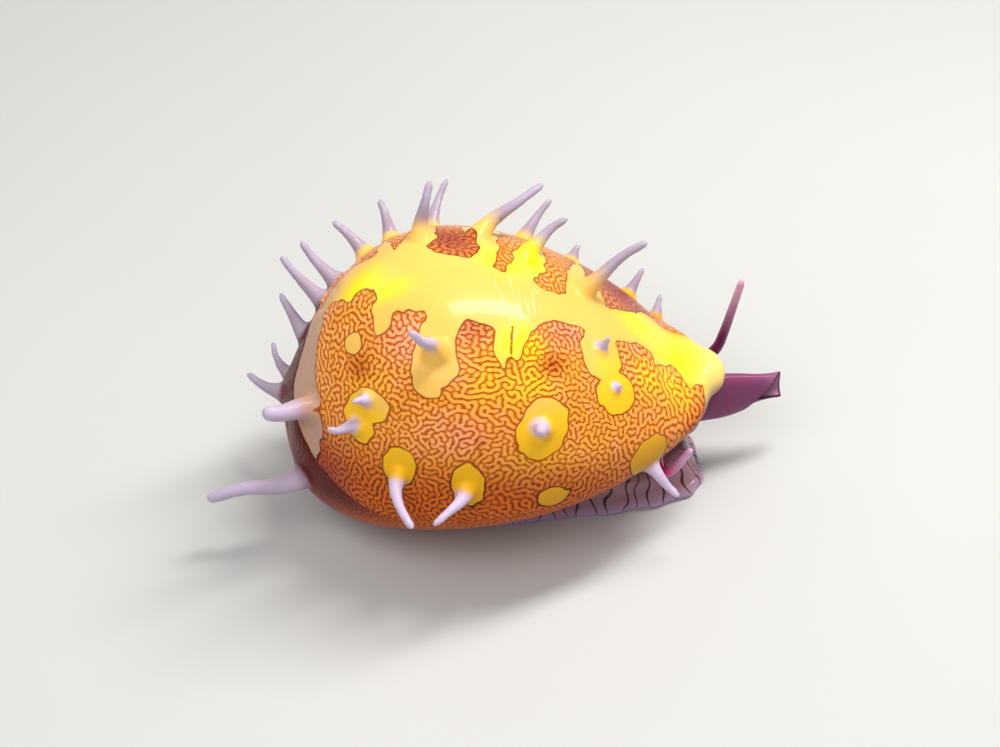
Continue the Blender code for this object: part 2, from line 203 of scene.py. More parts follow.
def dress(piece: Piece, material: bpy.types.Material) -> Piece:
    """Puts a piece modelled in millimetres at its true size, in its one material.

    Args:
        piece: The modelled piece.
        material: What it is made of.

    Returns:
        The same piece, finished.
    """
    piece.data.transform(Matrix.Scale(MM, 4))
    piece.data.update()
    piece.data.shade_smooth()
    piece.data.materials.clear()
    piece.data.materials.append(material)
    return piece


def along_route(route: tuple[Triple, ...], steps: int) -> list[Vector]:
    """Points on a smooth line through the route.

    Args:
        route: Points that the line passes through.
        steps: Number of points between each two of them.

    Returns:
        The points, from the first of the route to its last.
    """
    stops = [Vector(stop) for stop in route]
    ends = [stops[0] * 2 - stops[1], *stops, stops[-1] * 2 - stops[-2]]
    line = []
    for before, here, there, after in zip(ends, ends[1:], ends[2:], ends[3:]):
        for step in range(steps):
            t = step / steps
            line.append(
                0.5
                * (
                    2 * here
                    + (there - before) * t
                    + (2 * before - 5 * here + 4 * there - after) * t**2
                    + (3 * here - before - 3 * there + after) * t**3
                )
            )
    return [*line, stops[-1]]


def nearest_on(line: Array, spots: Array) -> tuple[Array, Array, Array]:
    """Finds the place on a broken line that is nearest to each spot.

    Args:
        line: Points of the line, one row each.
        spots: Points, one row each.

    Returns:
        For each spot, its distance from the line, the number of the nearest stretch and the share along it.
    """
    nearest = np.full(len(spots), np.inf)
    stretch = np.zeros(len(spots), int)
    along = np.zeros(len(spots))
    for number, (start, end) in enumerate(zip(line, line[1:])):
        run = end - start
        held = np.clip((spots - start) @ run / (run @ run), 0, 1)
        gap = np.linalg.norm(spots - (start + held[:, None] * run), axis=1)
        closer = gap < nearest
        nearest = np.where(closer, gap, nearest)
        stretch = np.where(closer, number, stretch)
        along = np.where(closer, held, along)
    return nearest, stretch, along


def draw_finger(name: str, line: list[Vector], radii: list[float], sides: int) -> Piece:
    """Draws a round face out along a line, ring by ring, into a closed finger.

    Args:
        name: Name of the piece.
        line: Middle of each ring, in millimetres.
        radii: Radius of each ring.
        sides: Number of sides.

    Returns:
        The finger, a closed mesh.
    """
    heading = (line[1] - line[0]).normalized()
    turned = heading.to_track_quat("Z", "Y").to_euler()
    bpy.ops.mesh.primitive_circle_add(
        vertices=sides, radius=radii[0], fill_type="NGON", location=line[0], rotation=turned
    )
    finger = added(name)
    edit_all(finger)
    for ring in range(1, len(line)):
        bpy.ops.mesh.extrude_region_move(TRANSFORM_OT_translate={"value": line[ring] - line[ring - 1]})
        wider = radii[ring] / radii[ring - 1]
        bpy.ops.transform.resize(value=(wider, wider, wider), center_override=line[ring])
        if ring + 1 == len(line):
            break
        new_heading = (line[ring + 1] - line[ring - 1]).normalized()
        bend = heading.rotation_difference(new_heading).to_euler("XYZ")
        for axis, angle in zip("XYZ", bend):
            if abs(angle) > 0.002:
                bpy.ops.transform.rotate(value=-angle, orient_axis=axis, center_override=line[ring])
        heading = new_heading
    close_edit()
    return finger


def ball(name: str, centre: Vector, radii: Triple, sides: int = 32) -> Piece:
    """A rounded lump, to be fused into a skin.

    Args:
        name: Name of the piece.
        centre: Its middle, in millimetres.
        radii: Its three radii.
        sides: Number of sides round it.

    Returns:
        The lump, a closed mesh.
    """
    bpy.ops.mesh.primitive_uv_sphere_add(
        segments=sides, ring_count=sides // 2, radius=1, location=centre, scale=radii
    )
    lump = added(name)
    bpy.ops.object.transform_apply(location=True, rotation=True, scale=True)
    return lump


@dataclass(frozen=True)
class MantleForm:
    """The egg that the mantle makes over the shell, blunt behind, with a knob at the front.

    share runs from 0 at the rear to 1 at the knob; turn is the angle from the back line, positive to the
    animal's right. Each fullness is how blunt an outline is behind and in front.
    """

    length: float = 12.4
    rear_x: float = -6.2
    axis_z: float = 3.4
    half_width: float = 4.5
    above: float = 5.05
    below: float = 2.9
    knob_radius: float = 0.6
    knob_root: float = 1.6
    neck_above_x: float = 4.95
    neck_above_length: float = 0.8
    neck_above_dip: float = 0.33
    neck_side_x: float = 5.75
    neck_side_length: float = 0.34
    neck_side_dip: float = 0.4
    neck_below_x: float = 5.3
    neck_below_length: float = 0.6
    neck_below_dip: float = 0.15
    lobe_bulge: float = 0.34
    left_lobe_larger: float = 1.9
    lobe_offset: float = 1.9
    lobe_width: float = 1.3
    lobe_height: float = 2.0
    lobe_level: float = -0.5
    lobe_fade: float = 0.03
    plan_fullness: Pair = (0.525, 0.676)
    top_fullness: Pair = (0.63, 1.227)
    low_fullness: Pair = (0.2, 0.765)
    top_roundness: float = 2.1
    low_roundness: float = 1.9
    rear_part: Pair = (0.35, 0.02)
    rear_top_change: float = -0.25
    rear_low_change: float = 0.35
    bearing_x: float = -0.5
    bearing_z: float = 3.0
    first_bearing: float = -60.0

    def points(self, share: Array, turn: Array) -> Array:
        """Places on the mantle.

        Args:
            share: Share of the length for each place.
            turn: Angle from the back line for each, in radians.

        Returns:
            One row of x, y, z for each, in millimetres.
        """
        share = np.asarray(share, float)
        turn = np.asarray(turn, float)
        along = self.length * share
        x = self.rear_x + along
        neck_above = 1 - self.neck_above_dip * bell(x, self.neck_above_x, self.neck_above_length)
        neck_below = 1 - self.neck_below_dip * bell(x, self.neck_below_x, self.neck_below_length)
        neck_side = 1 - self.neck_side_dip * bell(x, self.neck_side_x, self.neck_side_length)
        wide = self.half_width * self.egg(share, *self.plan_fullness) * neck_side
        above = self.above * self.egg(share, *self.top_fullness) * neck_above
        below = self.below * self.egg(share, *self.low_fullness) * neck_below
        past = along - (self.length - self.knob_radius)
        cap = np.sqrt(np.clip(self.knob_radius**2 - past**2, 0, None))
        root = self.knob_radius * np.clip(1 + past / self.knob_root, 0, None)
        knob = np.where(past > 0, cap, root)
        wide, above, below = ((size**3 + knob**3) ** (1 / 3) for size in (wide, above, below))
        sideways = -np.sin(turn)
        up = np.cos(turn)
        rearward = rise(share, *self.rear_part)
        top_power = self.top_roundness + self.rear_top_change * rearward
        power = np.where(up > 0, top_power, self.low_roundness + self.rear_low_change * rearward)
        reach = (np.abs(sideways) ** power + np.abs(up) ** power) ** (-1 / power)
        y = wide * sideways * reach
        z = np.where(up > 0, above, below) * up * reach
        lobe = self.lobe_bulge * bell(np.abs(y), self.lobe_offset, self.lobe_width)
        lobe = lobe * np.where(y > 0, self.left_lobe_larger, 1.0)
        lobe = lobe * np.exp(-share / self.lobe_fade) * bell(z, self.lobe_level, self.lobe_height)
        return np.stack([x - lobe, y, self.axis_z + z], axis=-1)

    @staticmethod
    def egg(share: Array, rear: float, front: float) -> Array:
        """Outline of an egg.

        Args:
            share: Share of the length for each place.
            rear: How blunt it is behind.
            front: How blunt it is in front.

        Returns:
            Share of the greatest radius for each.
        """
        peak = rear / (rear + front)
        held = np.clip(share, 1e-9, 1 - 1e-9)
        return (held / peak) ** rear * ((1 - held) / (1 - peak)) ** front

    def axes(self, share: float, turn: float) -> tuple[Vector, Vector, Vector, Vector]:
        """A place on the mantle with its directions.

        Args:
            share: Share of the length.
            turn: Angle from the back line, in radians.

        Returns:
            The place, and the outward, forward and downward directions there.
        """
        step = 0.002
        side = 1 if turn >= 0 else -1
        ends = self.points(
            [share, share + step, share - step, share, share],
            [turn, turn, turn, turn + side * step, turn - side * step],
        )
        here, ahead, behind, lower, upper = (Vector(end) for end in ends)
        forward = (ahead - behind).normalized()
        down = (lower - upper).normalized()
        outward = down.cross(forward).normalized() * side
        return here, outward, forward, down

    def bearing(self, places: Array) -> Array:
        """Degrees round the side view: 0 at the head, 90 on the back, 180 at the rear, and on from there."""
        angle = np.degrees(np.arctan2(places[:, 2] - self.bearing_z, places[:, 0] - self.bearing_x))
        return np.where(angle < self.first_bearing, angle + 360, angle)

    def back_line(self) -> tuple[Array, Array]:
        """Measures round the body in the plane of its middle.

        Returns:
            Bearings in rising order, and the length over the skin up to each, in millimetres.
        """
        count = 400
        share = (1 - np.cos(np.linspace(0, math.pi, count))) / 2
        over = self.points(share[::-1], np.zeros(count))
        under = self.points(share, np.full(count, math.pi))
        line = np.concatenate([under[count // 2 :], over, under[: count // 2]])
        steps = np.linalg.norm(np.diff(line, axis=0), axis=1)
        bearings = self.bearing(line)
        lengths = np.concatenate([[0], np.cumsum(steps)])
        order = np.argsort(bearings)
        return bearings[order], lengths[order]


@dataclass(frozen=True)
class Papilla:
    """One papilla: the place it grows from, its length, its lean in degrees, its curl and its thickness.

    Sway is how far it winds from side to side, and blunt how much thicker it is toward the tip.
    """

    share: float
    turn: float
    length: float
    fore: float = 0.0
    down: float = 0.0
    curl: float = 0.0
    stout: float = 1.0
    sunk: float = 0.55
    sway: float = 0.045
    blunt: float = 0.0

    def line(self, form: MantleForm, steps: int) -> tuple[list[Vector], Vector]:
        """Middle line of the papilla.

        Args:
            form: The mantle that it grows from.
            steps: Number of steps above the skin.

        Returns:
            Its points, from inside the mantle to the tip, and its place on the skin.
        """
        root, outward, forward, down = form.axes(self.share, math.radians(self.turn))
        fore, lower = (math.tan(math.radians(angle)) for angle in (self.fore, self.down))
        lean = outward + forward * fore + down * lower
        lean.normalize()
        line = [root - outward * self.sunk]
        sway = self.sway * self.length * math.sin(60 * self.share + self.turn)
        for step in range(steps + 1):
            share = step / steps
            bend = forward * (self.length * math.tan(math.radians(self.curl)) * share**2)
            bend += down * (sway * math.sin(2.3 * math.pi * share))
            line.append(root + lean * (self.length * share) + bend)
        return line, root


LEFT_PAPILLAE = (
    Papilla(0.015, -92, 1.3, 15, 15, 25),
    Papilla(0.03, -86, 0.95, 5, -12, 34, 0.85),
    Papilla(0.055, -45, 1.25, 28, 0, 5),
    Papilla(0.10, -37, 1.65, 5, 0, 8),
    Papilla(0.136, -42, 1.5, 0, 0, 8),
    Papilla(0.206, -41, 1.3, 0, 0, -8),
    Papilla(0.27, -46, 1.25, 14, 0, -4),
    Papilla(0.32, -18, 1.5, 10, 5, 10, 1.1),
    Papilla(0.365, -48, 1.5, 13, 5, 14, 0.9),
    Papilla(0.45, -19, 1.95, 34, 20, 16, 1.1),
    Papilla(0.57, -41, 1.35, 10, 4, 8, 0.9),
    Papilla(0.56, -16, 1.3, 14, 7, 12),
    Papilla(0.67, -3, 2.2, 4, 2, 10, 1.1),
    Papilla(0.68, -44, 0.5, 0, 0, 0, 0.85),
    Papilla(0.81, -52, 0.9, -6, 0, 0, 0.85),
    Papilla(0.875, -73, 0.8, -20, 5, 0, 0.8),
    Papilla(0.07, -115, 1.7, -15, 5, 10),
    Papilla(0.22, -84, 1.1, -10, 10, 8),
    Papilla(0.30, -112, 1.2, 10, 10, -6),
    Papilla(0.42, -82, 1.0, -12, 10, 6),
    Papilla(0.50, -108, 1.25, 15, 5, -6),
    Papilla(0.62, -84, 1.0, 10, 10, 8),
    Papilla(0.74, -108, 1.1, 5, 0, 6),
)
RIGHT_PAPILLAE = (
    Papilla(0.025, 118, 2.6, -16, 3, -8, 1.15, sway=0.5, blunt=0.45),
    Papilla(0.045, 47, 1.5, 0, 0, 0, 1.35, blunt=0.5),
    Papilla(0.31, 36, 1.5, -9, -12, -10, 1.1),
    Papilla(0.68, 27, 0.5, -14, -12, 0, 0.75),
    Papilla(0.70, 44, 0.28, -6, -4, 0, 0.62),
    Papilla(0.52, 61, 1.0, -25, -8, 0, 1.0),
    Papilla(0.133, 60, 1.0, -8, -10, -6, 0.9),
    Papilla(0.16, 49, 0.6, -9, 0, 0, 0.8),
    Papilla(0.21, 78, 1.5, -4, 26, 33, 0.92, blunt=0.2),
    Papilla(0.35, 82, 1.2, -17, 12, -23, 0.92, blunt=0.1),
    Papilla(0.78, 109, 1.15, 0, 0, 8, 0.82, blunt=0.3),
)


@dataclass(frozen=True)
class Patch:
    """A patch of plain colour on the mantle: its place, and its half sizes along and round the body."""

    share: float
    turn: float
    along: float
    around: float


class Hue(Enum):
    """What a soft stain does to the colours under it."""

    ROSE = ("tint", 0)
    EMBER = ("tint", 1)
    SUN = ("tint", 2)
    GOLD = ("pale", 0)
    WINE = ("pale", 1)
    LILAC = ("pale", 2)


@dataclass(frozen=True)
class Stain:
    """A soft-edged stain: its place, its half sizes along and round the body, and its strength."""

    hue: Hue
    share: float
    turn: float
    along: float
    around: float
    strength: float = 1.0


# The pale band along the back, by bearing and distance to the left. Its two edges run from head to tail.
BAND_RIGHT = (
    (-14, -0.4), (-4, -0.9), (6, -1.15), (9, -0.95), (10, -1.3), (12, -0.8),
    (16, -0.72), (20, -1.0), (25.5, -1.3), (25, -0.85), (31, -0.9), (35, -0.92),
    (40, -1.15), (46, -1.5), (57, -1.38), (61, -1.4), (68, -1.48), (74, -1.6),
    (78, -1.9), (81, -2.14), (83.4, -2.5), (84.6, -2.74), (86.6, -2.78), (88.2, -2.62),
    (90, -2.86), (92.0, -3.05), (93.8, -2.85), (95, -2.6), (94, -2.35), (92.8, -2.15),
    (97, -1.98), (102, -1.98), (104, -2.2), (107, -2.85), (119, -2.4), (115, -1.95),
    (111, -1.63), (115, -1.48), (119, -1.33), (123, -1.6), (127.5, -1.65), (126, -1.1),
    (122, -0.6), (124, -0.25), (128, -0.05), (131, -0.2), (135, 0.35), (140, 0.6),
    (143, 0.0), (147, -0.4), (151, -0.9), (155, -1.6), (158.4, -1.9), (162, -2.0),
    (168, -2.12), (173.5, -2.2),
)
BAND_LEFT = (
    (-14, 0.3), (-4, 0.9), (8, 1.2), (14, 1.25), (19, 1.27), (24, 1.0),
    (29, 0.72), (38, 0.3), (46, -0.1), (45, 0.37), (47, 0.83), (51, 0.92),
    (47, 2.1), (45, 2.6), (48, 2.6), (50, 2.07), (60, 0.92), (63, 0.05),
    (66, -0.42), (74, -0.52), (77, -0.2), (71, 0.2), (68, 1.06), (67.5, 1.95),
    (69.5, 2.3), (81, 0.96), (84, 0.08), (87, -0.24), (90, -0.08), (86, 0.66),
    (86, 1.25), (82, 2.1), (83, 2.7), (91, 2.7), (92, 2.2), (93, 1.48),
    (92, 0.57), (97, 0.04), (101, 0.3), (108, 0.68), (104, 1.1), (103.5, 2.1),
    (106, 2.5), (111, 2.4), (113, 1.57), (116, 0.84), (117, 1.6), (119, 2.2),
    (122, 1.7), (121, 1.2), (126, 1.36), (133, 1.46), (139, 1.33), (148, 0.9),
    (152, 0.3), (157, 0.06), (162, -0.1), (165, -0.42), (166.5, -0.9), (168.5, -1.3),
    (171, -1.75), (173.5, -2.05),
)
PATCHES = (
    Patch(0.304, 39.5, 0.64, 0.72),
    Patch(0.286, 45.5, 0.4, 0.46),
    Patch(0.677, 29.5, 0.74, 0.76),
    Patch(0.70, 46, 0.65, 0.58),
    Patch(0.522, 60.5, 0.75, 0.86),
    Patch(0.156, 52, 0.68, 0.5),
    Patch(0.137, 57, 0.5, 0.66),
    Patch(0.212, 75, 0.52, 0.6),
    Patch(0.354, 80, 0.48, 0.75),
    Patch(0.769, 87, 0.68, 0.6),
    Patch(0.538, 88, 0.47, 0.38),
    Patch(0.142, 24, 0.31, 0.28),
    Patch(0.455, -24, 0.5, 0.55),
    Patch(0.22, -80, 0.6, 0.62),
    Patch(0.30, -108, 0.5, 0.6),
    Patch(0.42, -80, 0.72, 0.7),
    Patch(0.50, -104, 0.5, 0.55),
    Patch(0.62, -82, 0.7, 0.64),
    Patch(0.74, -104, 0.55, 0.5),
    Patch(0.68, -46, 0.55, 0.5),
    Patch(0.81, -54, 0.45, 0.45),
    Patch(0.875, -74, 0.4, 0.45),
    Patch(0.365, -50, 0.55, 0.6),
    Patch(0.57, -43, 0.5, 0.6),
    Patch(0.206, -42, 0.5, 0.6),
    Patch(0.27, -48, 0.45, 0.5),
)
CREASE = ((0.48, 26.5), (0.473, 31.5), (0.469, 36))
STAINS = (
    Stain(Hue.EMBER, 0.558, 38.3, 0.45, 0.35, 0.9),
    Stain(Hue.EMBER, 0.150, 35.5, 0.42, 0.4, 0.8),
    Stain(Hue.EMBER, 0.381, 66.5, 0.12, 0.26, 0.5),
    Stain(Hue.SUN, 0.844, 33, 0.8, 0.75, 1.0),
    Stain(Hue.SUN, 0.79, 36, 0.6, 0.6, 0.8),
    Stain(Hue.SUN, 0.513, 34, 0.45, 0.5, 1.0),
    Stain(Hue.SUN, 0.50, 46, 0.9, 0.6, 0.75),
    Stain(Hue.SUN, 0.41, 46, 0.6, 0.6, 0.5),
    Stain(Hue.SUN, 0.52, 72, 1.2, 0.5, 0.4),
    Stain(Hue.SUN, 0.16, 44, 0.7, 0.6, 0.45),
    Stain(Hue.ROSE, 0.25, 28, 0.9, 0.8, 0.9),
    Stain(Hue.ROSE, 0.385, 29, 0.5, 0.5, 1.0),
    Stain(Hue.ROSE, 0.60, 24, 0.8, 0.6, 1.0),
    Stain(Hue.ROSE, 0.33, 62, 1.2, 0.6, 0.6),
    Stain(Hue.ROSE, 0.765, 18, 0.4, 0.4, 0.7),
    Stain(Hue.WINE, 0.385, -14, 1.1, 1.2, 0.9),
    Stain(Hue.WINE, 0.02, 140, 0.9, 1.2, 0.7),
    Stain(Hue.ROSE, 0.77, -30, 1.6, 2.0, 0.9),
    Stain(Hue.WINE, 0.77, -27, 1.8, 1.5, 1.0),
    Stain(Hue.WINE, 0.20, -16, 1.0, 0.7, 0.3),
    Stain(Hue.EMBER, 0.398, 28, 0.45, 0.45, 0.7),
    Stain(Hue.EMBER, 0.60, 25, 0.6, 0.4, 0.3),
    Stain(Hue.ROSE, 0.12, -70, 2.2, 3.4, 0.8),
    Stain(Hue.ROSE, 0.5, -90, 4.0, 2.4, 0.35),
    Stain(Hue.GOLD, 0.17, 0, 0.9, 0.8, 1.0),
    Stain(Hue.GOLD, 0.22, 8, 0.8, 0.4, 0.8),
    Stain(Hue.GOLD, 0.49, -3, 0.8, 0.6, 0.8),
    Stain(Hue.GOLD, 0.56, -10, 0.6, 0.9, 1.0),
    Stain(Hue.GOLD, 0.49, 30, 0.4, 0.5, 0.9),
    Stain(Hue.GOLD, 0.80, -2, 1.0, 0.8, 1.0),
    Stain(Hue.GOLD, 0.86, 4, 1.3, 1.3, 1.0),
    Stain(Hue.GOLD, 0.47, 33, 0.5, 0.55, 0.7),
    Stain(Hue.GOLD, 0.69, 35, 0.45, 0.35, 0.7),
    Stain(Hue.LILAC, 0.0, 60, 1.2, 4.0, 1.0),
    Stain(Hue.LILAC, 0.05, 60, 0.9, 2.6, 1.0),
)


class FineNet:
    """A net three times as fine as a skin of four-sided faces, with 4 by 4 places on each face."""

    def __init__(self, skin: Mesh) -> None:
        """Numbers the places, those at the vertices first, and links each to its neighbours."""
        self.edges = read_whole(skin.edges, "vertices", 2)
        self.faces = read_whole(skin.polygons, "vertices", 4)
        sides = read_whole(skin.loops, "edge_index", 1).reshape(-1, 4)
        corners = len(skin.vertices)
        on_edges = corners + np.arange(2 * len(self.edges)).reshape(-1, 2)
        on_faces = corners + on_edges.size + np.arange(4 * len(self.faces)).reshape(-1, 2, 2)
        self.total = corners + on_edges.size + on_faces.size
        runs = []
        for side in range(4):
            edge = sides[:, side]
            forth = self.edges[edge, 0] == self.faces[:, side]
            runs.append(np.where(forth[:, None], on_edges[edge], on_edges[edge][:, ::-1]))
        tiles = np.empty((len(self.faces), 4, 4), np.int64)
        tiles[:, 0, 0], tiles[:, 0, 3], tiles[:, 3, 3], tiles[:, 3, 0] = self.faces.T
        tiles[:, 0, 1:3] = runs[0]
        tiles[:, 1:3, 3] = runs[1]
        tiles[:, 3, 1:3] = runs[2][:, ::-1]
        tiles[:, 1:3, 0] = runs[3][:, ::-1]
        tiles[:, 1:3, 1:3] = on_faces
        self.tiles = tiles
        spans = np.concatenate([self.edges[:, :1], on_edges, self.edges[:, 1:]], axis=1)
        pairs = [
            np.stack([spans[:, :-1], spans[:, 1:]], axis=-1),
            np.stack([tiles[:, 1:3, :-1], tiles[:, 1:3, 1:]], axis=-1),
            np.stack([tiles[:, :-1, 1:3], tiles[:, 1:, 1:3]], axis=-1),
        ]
        links = np.concatenate([pair.reshape(-1, 2) for pair in pairs])
        both = np.concatenate([links, links[:, ::-1]])
        both = both[np.argsort(both[:, 0], kind="stable")]
        counts = np.bincount(both[:, 0], minlength=self.total)
        self.starts = np.concatenate([[0], np.cumsum(counts)[:-1]])
        self.ends = both[:, 1]
        self.counts = counts.astype(np.float32)

    def refine(self, values: Array) -> Array:
        """Spreads values at the skin's vertices over all the places.

        Args:
            values: One value for each vertex.

        Returns:
            One value for each place.
        """
        spans, squares = values[self.edges], values[self.faces]
        third = np.array([1 / 3, 2 / 3])
        on_edges = spans[:, :1] * (1 - third) + spans[:, 1:] * third
        low = squares[:, :1] * (1 - third) + squares[:, 1:2] * third
        high = squares[:, 3:] * (1 - third) + squares[:, 2:3] * third
        on_faces = low[:, None, :] * (1 - third)[:, None] + high[:, None, :] * third[:, None]
        return np.concatenate([values, on_edges.ravel(), on_faces.ravel()]).astype(np.float32)

    def mean(self, level: Array) -> Array:
        """Mean of each place's neighbours."""
        return np.add.reduceat(level[self.ends], self.starts) / self.counts

    def cubics(self, level: Array) -> Array:
        """For each face, the 4 by 4 numbers that give its level as a cubic of its two coordinates."""
        powers = (np.arange(4) / 3)[:, None] ** np.arange(4)
        solve = np.linalg.inv(powers)
        return solve @ level[self.tiles] @ solve.T


@dataclass
class Maze:
    """Ridges parted by fine lines, grown over a skin.

    Each place joins those near it and parts from those further off.
    """

    near_rounds: int = 9
    far_rounds: int = 33
    turns: int = 16
    sharpness: float = 9.0
    last_sharpness: float = 3.2
    bias: float = 1.0
    last_bias: float = 0.4
    softening: float = 0.5
    least_part: float = 0.02
    first_level: float = 0.1
    rank_step: int = 50
    seed: int = 11

    def grow(self, skin: Mesh, free: Array, spread: Array, lean: Array) -> Array:
        """Grows the maze on a fine net.

        Args:
            skin: Mesh of four-sided faces.
            free: Signed distance of each vertex inside the maze's outline.
            spread: How far each step spreads, 0 to 1, which sets the width of the ridges.
            lean: Preference for ridges over lines.

        Returns:
            The 4 by 4 numbers of each face's cubic. The maze runs from -1 in a line to 1 on a ridge, and each
            level holds as much of the skin as any other.
        """
        net = FineNet(skin)
        inside = (net.refine(free) > 0).astype(np.float32)
        share, lean = net.refine(spread), net.refine(lean)
        draw = np.random.default_rng(self.seed)
        state = draw.uniform(-self.first_level, self.first_level, net.total).astype(np.float32)
        parts = self.spread_out(net, inside, share)
        near_part, far_part = (np.maximum(part, self.least_part) for part in parts)
        for turn in range(self.turns):
            near, far = self.spread_out(net, state * inside, share)
            sharpness, bias = self.sharpness, self.bias
            if turn + 1 == self.turns:
                sharpness, bias = self.last_sharpness, self.last_bias
            state = np.tanh(sharpness * (near / near_part - far / far_part) + bias * lean)
        state = state + self.softening * (net.mean(state) - state)
        ranked = np.sort(state[inside > 0])[:: self.rank_step]
        return net.cubics(2 * np.interp(state, ranked, np.linspace(0, 1, len(ranked))) - 1)

    def spread_out(self, net: FineNet, level: Array, share: Array) -> tuple[Array, Array]:
        """Lets a level spread over the net.

        Args:
            net: The net.
            level: The level at each place.
            share: How far each step spreads, 0 to 1.

        Returns:
            The level after the first rounds, and after all of them.
        """
        near = level
        for step in range(self.far_rounds):
            level = level + share * (net.mean(level) - level)
            if step + 1 == self.near_rounds:
                near = level
        return near, level


class Nodes:
    """Adds shader nodes to a material or a group and links them."""

    def __init__(self, tree: bpy.types.NodeTree) -> None:
        """Takes the node tree to work in."""
        self.tree = tree

    def add(self, kind: str, inputs: dict | None = None, **fields: object) -> bpy.types.Node:
        """Adds a node.

        Args:
            kind: Node type, without the leading ShaderNode.
            inputs: Socket names or numbers, with a value or the socket that feeds each.
            fields: Values of the node's own fields.

        Returns:
            The node.
        """
        node = self.tree.nodes.new(f"ShaderNode{kind}")
        for key, value in fields.items():
            setattr(node, key, value)
        for key, value in (inputs or {}).items():
            self.feed(node.inputs[key], value)
        return node

    def feed(self, socket: Socket, value: object) -> None:
        """Sets a socket's value, or links it to the socket given."""
        if isinstance(value, Socket):
            self.tree.links.new(value, socket)
        elif isinstance(value, tuple) and socket.type == "RGBA":
            socket.default_value = (*value, 1.0)
        else:
            socket.default_value = value

    def math(self, operation: str, *values: object) -> Socket:
        """A Math node's result."""
        return self.add("Math", dict(enumerate(values)), operation=operation).outputs[0]

    def times(self, *values: object) -> Socket:
        """The product of the values."""
        total = values[0]
        for value in values[1:]:
            total = self.math("MULTIPLY", total, value)
        return total

    def mix(self, share: object, first: object, second: object) -> Socket:
        """Two colours mixed."""
        inputs = {"Factor": share, 6: first, 7: second}
        return self.add("Mix", inputs, data_type="RGBA").outputs[2]

    def step(self, value: object, low: float, high: float) -> Socket:
        """A soft rise from 0 to 1 between two values, or a fall where low is above high."""
        inputs = {"Value": value, "From Min": low, "From Max": high}
        return self.add("MapRange", inputs, interpolation_type="SMOOTHSTEP").outputs[0]

    def read(self, name: str) -> bpy.types.Node:
        """The node that reads what is stored at the vertices under this name."""
        return self.add("Attribute", attribute_name=name)

    def value(self, name: str) -> Socket:
        """A stored value."""
        return self.read(name).outputs["Fac"]

    def three(self, name: str) -> tuple[Socket, ...]:
        """The three values stored as a row."""
        return tuple(self.add("SeparateXYZ", {0: self.read(name).outputs["Vector"]}).outputs)

    def four(self, name: str) -> tuple[Socket, ...]:
        """The four values stored as a row."""
        node = self.read(name)
        return (*self.add("SeparateColor", {0: node.outputs["Color"]}).outputs, node.outputs["Alpha"])

    def cubic(self, parts: tuple[Socket, ...], share: object) -> Socket:
        """A cubic of a share, from its four numbers."""
        total = parts[3]
        for part in parts[2::-1]:
            total = self.math("MULTIPLY_ADD", total, share, part)
        return total

    def noise(self, scale: float, detail: float = 3.0, place: object = None) -> Socket:
        """A noise over Object coordinates."""
        place = place or self.add("TexCoord").outputs["Object"]
        return self.add("TexNoise", {"Vector": place, "Scale": scale, "Detail": detail}).outputs["Fac"]

    def surface(self, inputs: dict) -> None:
        """Adds the material's shader and links it to the output."""
        shader = self.add("BsdfPrincipled", inputs)
        self.feed(self.tree.nodes["Material Output"].inputs["Surface"], shader.outputs[0])

    def ramp(self, share: object, stops: tuple[tuple[float, Colour], ...]) -> Socket:
        """A run of colours."""
        node = self.add("ValToRGB", {"Fac": share})
        elements = node.color_ramp.elements
        while len(elements) < len(stops):
            elements.new(1.0)
        for element, (place, colour) in zip(elements, stops):
            element.position = place
            element.color = (*colour, 1.0)
        return node.outputs["Color"]


def flesh_grain() -> bpy.types.NodeTree:
    """The fine unevenness of wet skin, shared by all the flesh.

    Returns:
        A group with a Scale, that gives a Height for bumps and a Mottle between 0 and 1.
    """
    known = bpy.data.node_groups.get("Flesh grain")
    if known:
        return known
    group = bpy.data.node_groups.new("Flesh grain", "ShaderNodeTree")
    group.interface.new_socket("Scale", in_out="INPUT", socket_type="NodeSocketFloat").default_value = 1.0
    group.interface.new_socket("Height", in_out="OUTPUT", socket_type="NodeSocketFloat")
    group.interface.new_socket("Mottle", in_out="OUTPUT", socket_type="NodeSocketFloat")
    nodes = Nodes(group)
    scale = group.nodes.new("NodeGroupInput").outputs["Scale"]
    place = nodes.add("TexCoord").outputs["Object"]
    sized = nodes.add("VectorMath", {0: place, "Scale": scale}, operation="SCALE").outputs[0]
    pores = nodes.add("TexNoise", {"Vector": sized, "Scale": 5500.0, "Detail": 2.0}).outputs["Fac"]
    folds = nodes.add("TexNoise", {"Vector": sized, "Scale": 1400.0, "Detail": 3.0}).outputs["Fac"]
    clouds = nodes.add("TexNoise", {"Vector": sized, "Scale": 700.0, "Detail": 4.0}).outputs["Fac"]
    height = nodes.math("ADD", nodes.times(pores, 0.35), nodes.times(folds, 0.65))
    out = group.nodes.new("NodeGroupOutput")
    nodes.feed(out.inputs["Height"], height)
    nodes.feed(out.inputs["Mottle"], nodes.step(clouds, 0.3, 0.7))
    return group


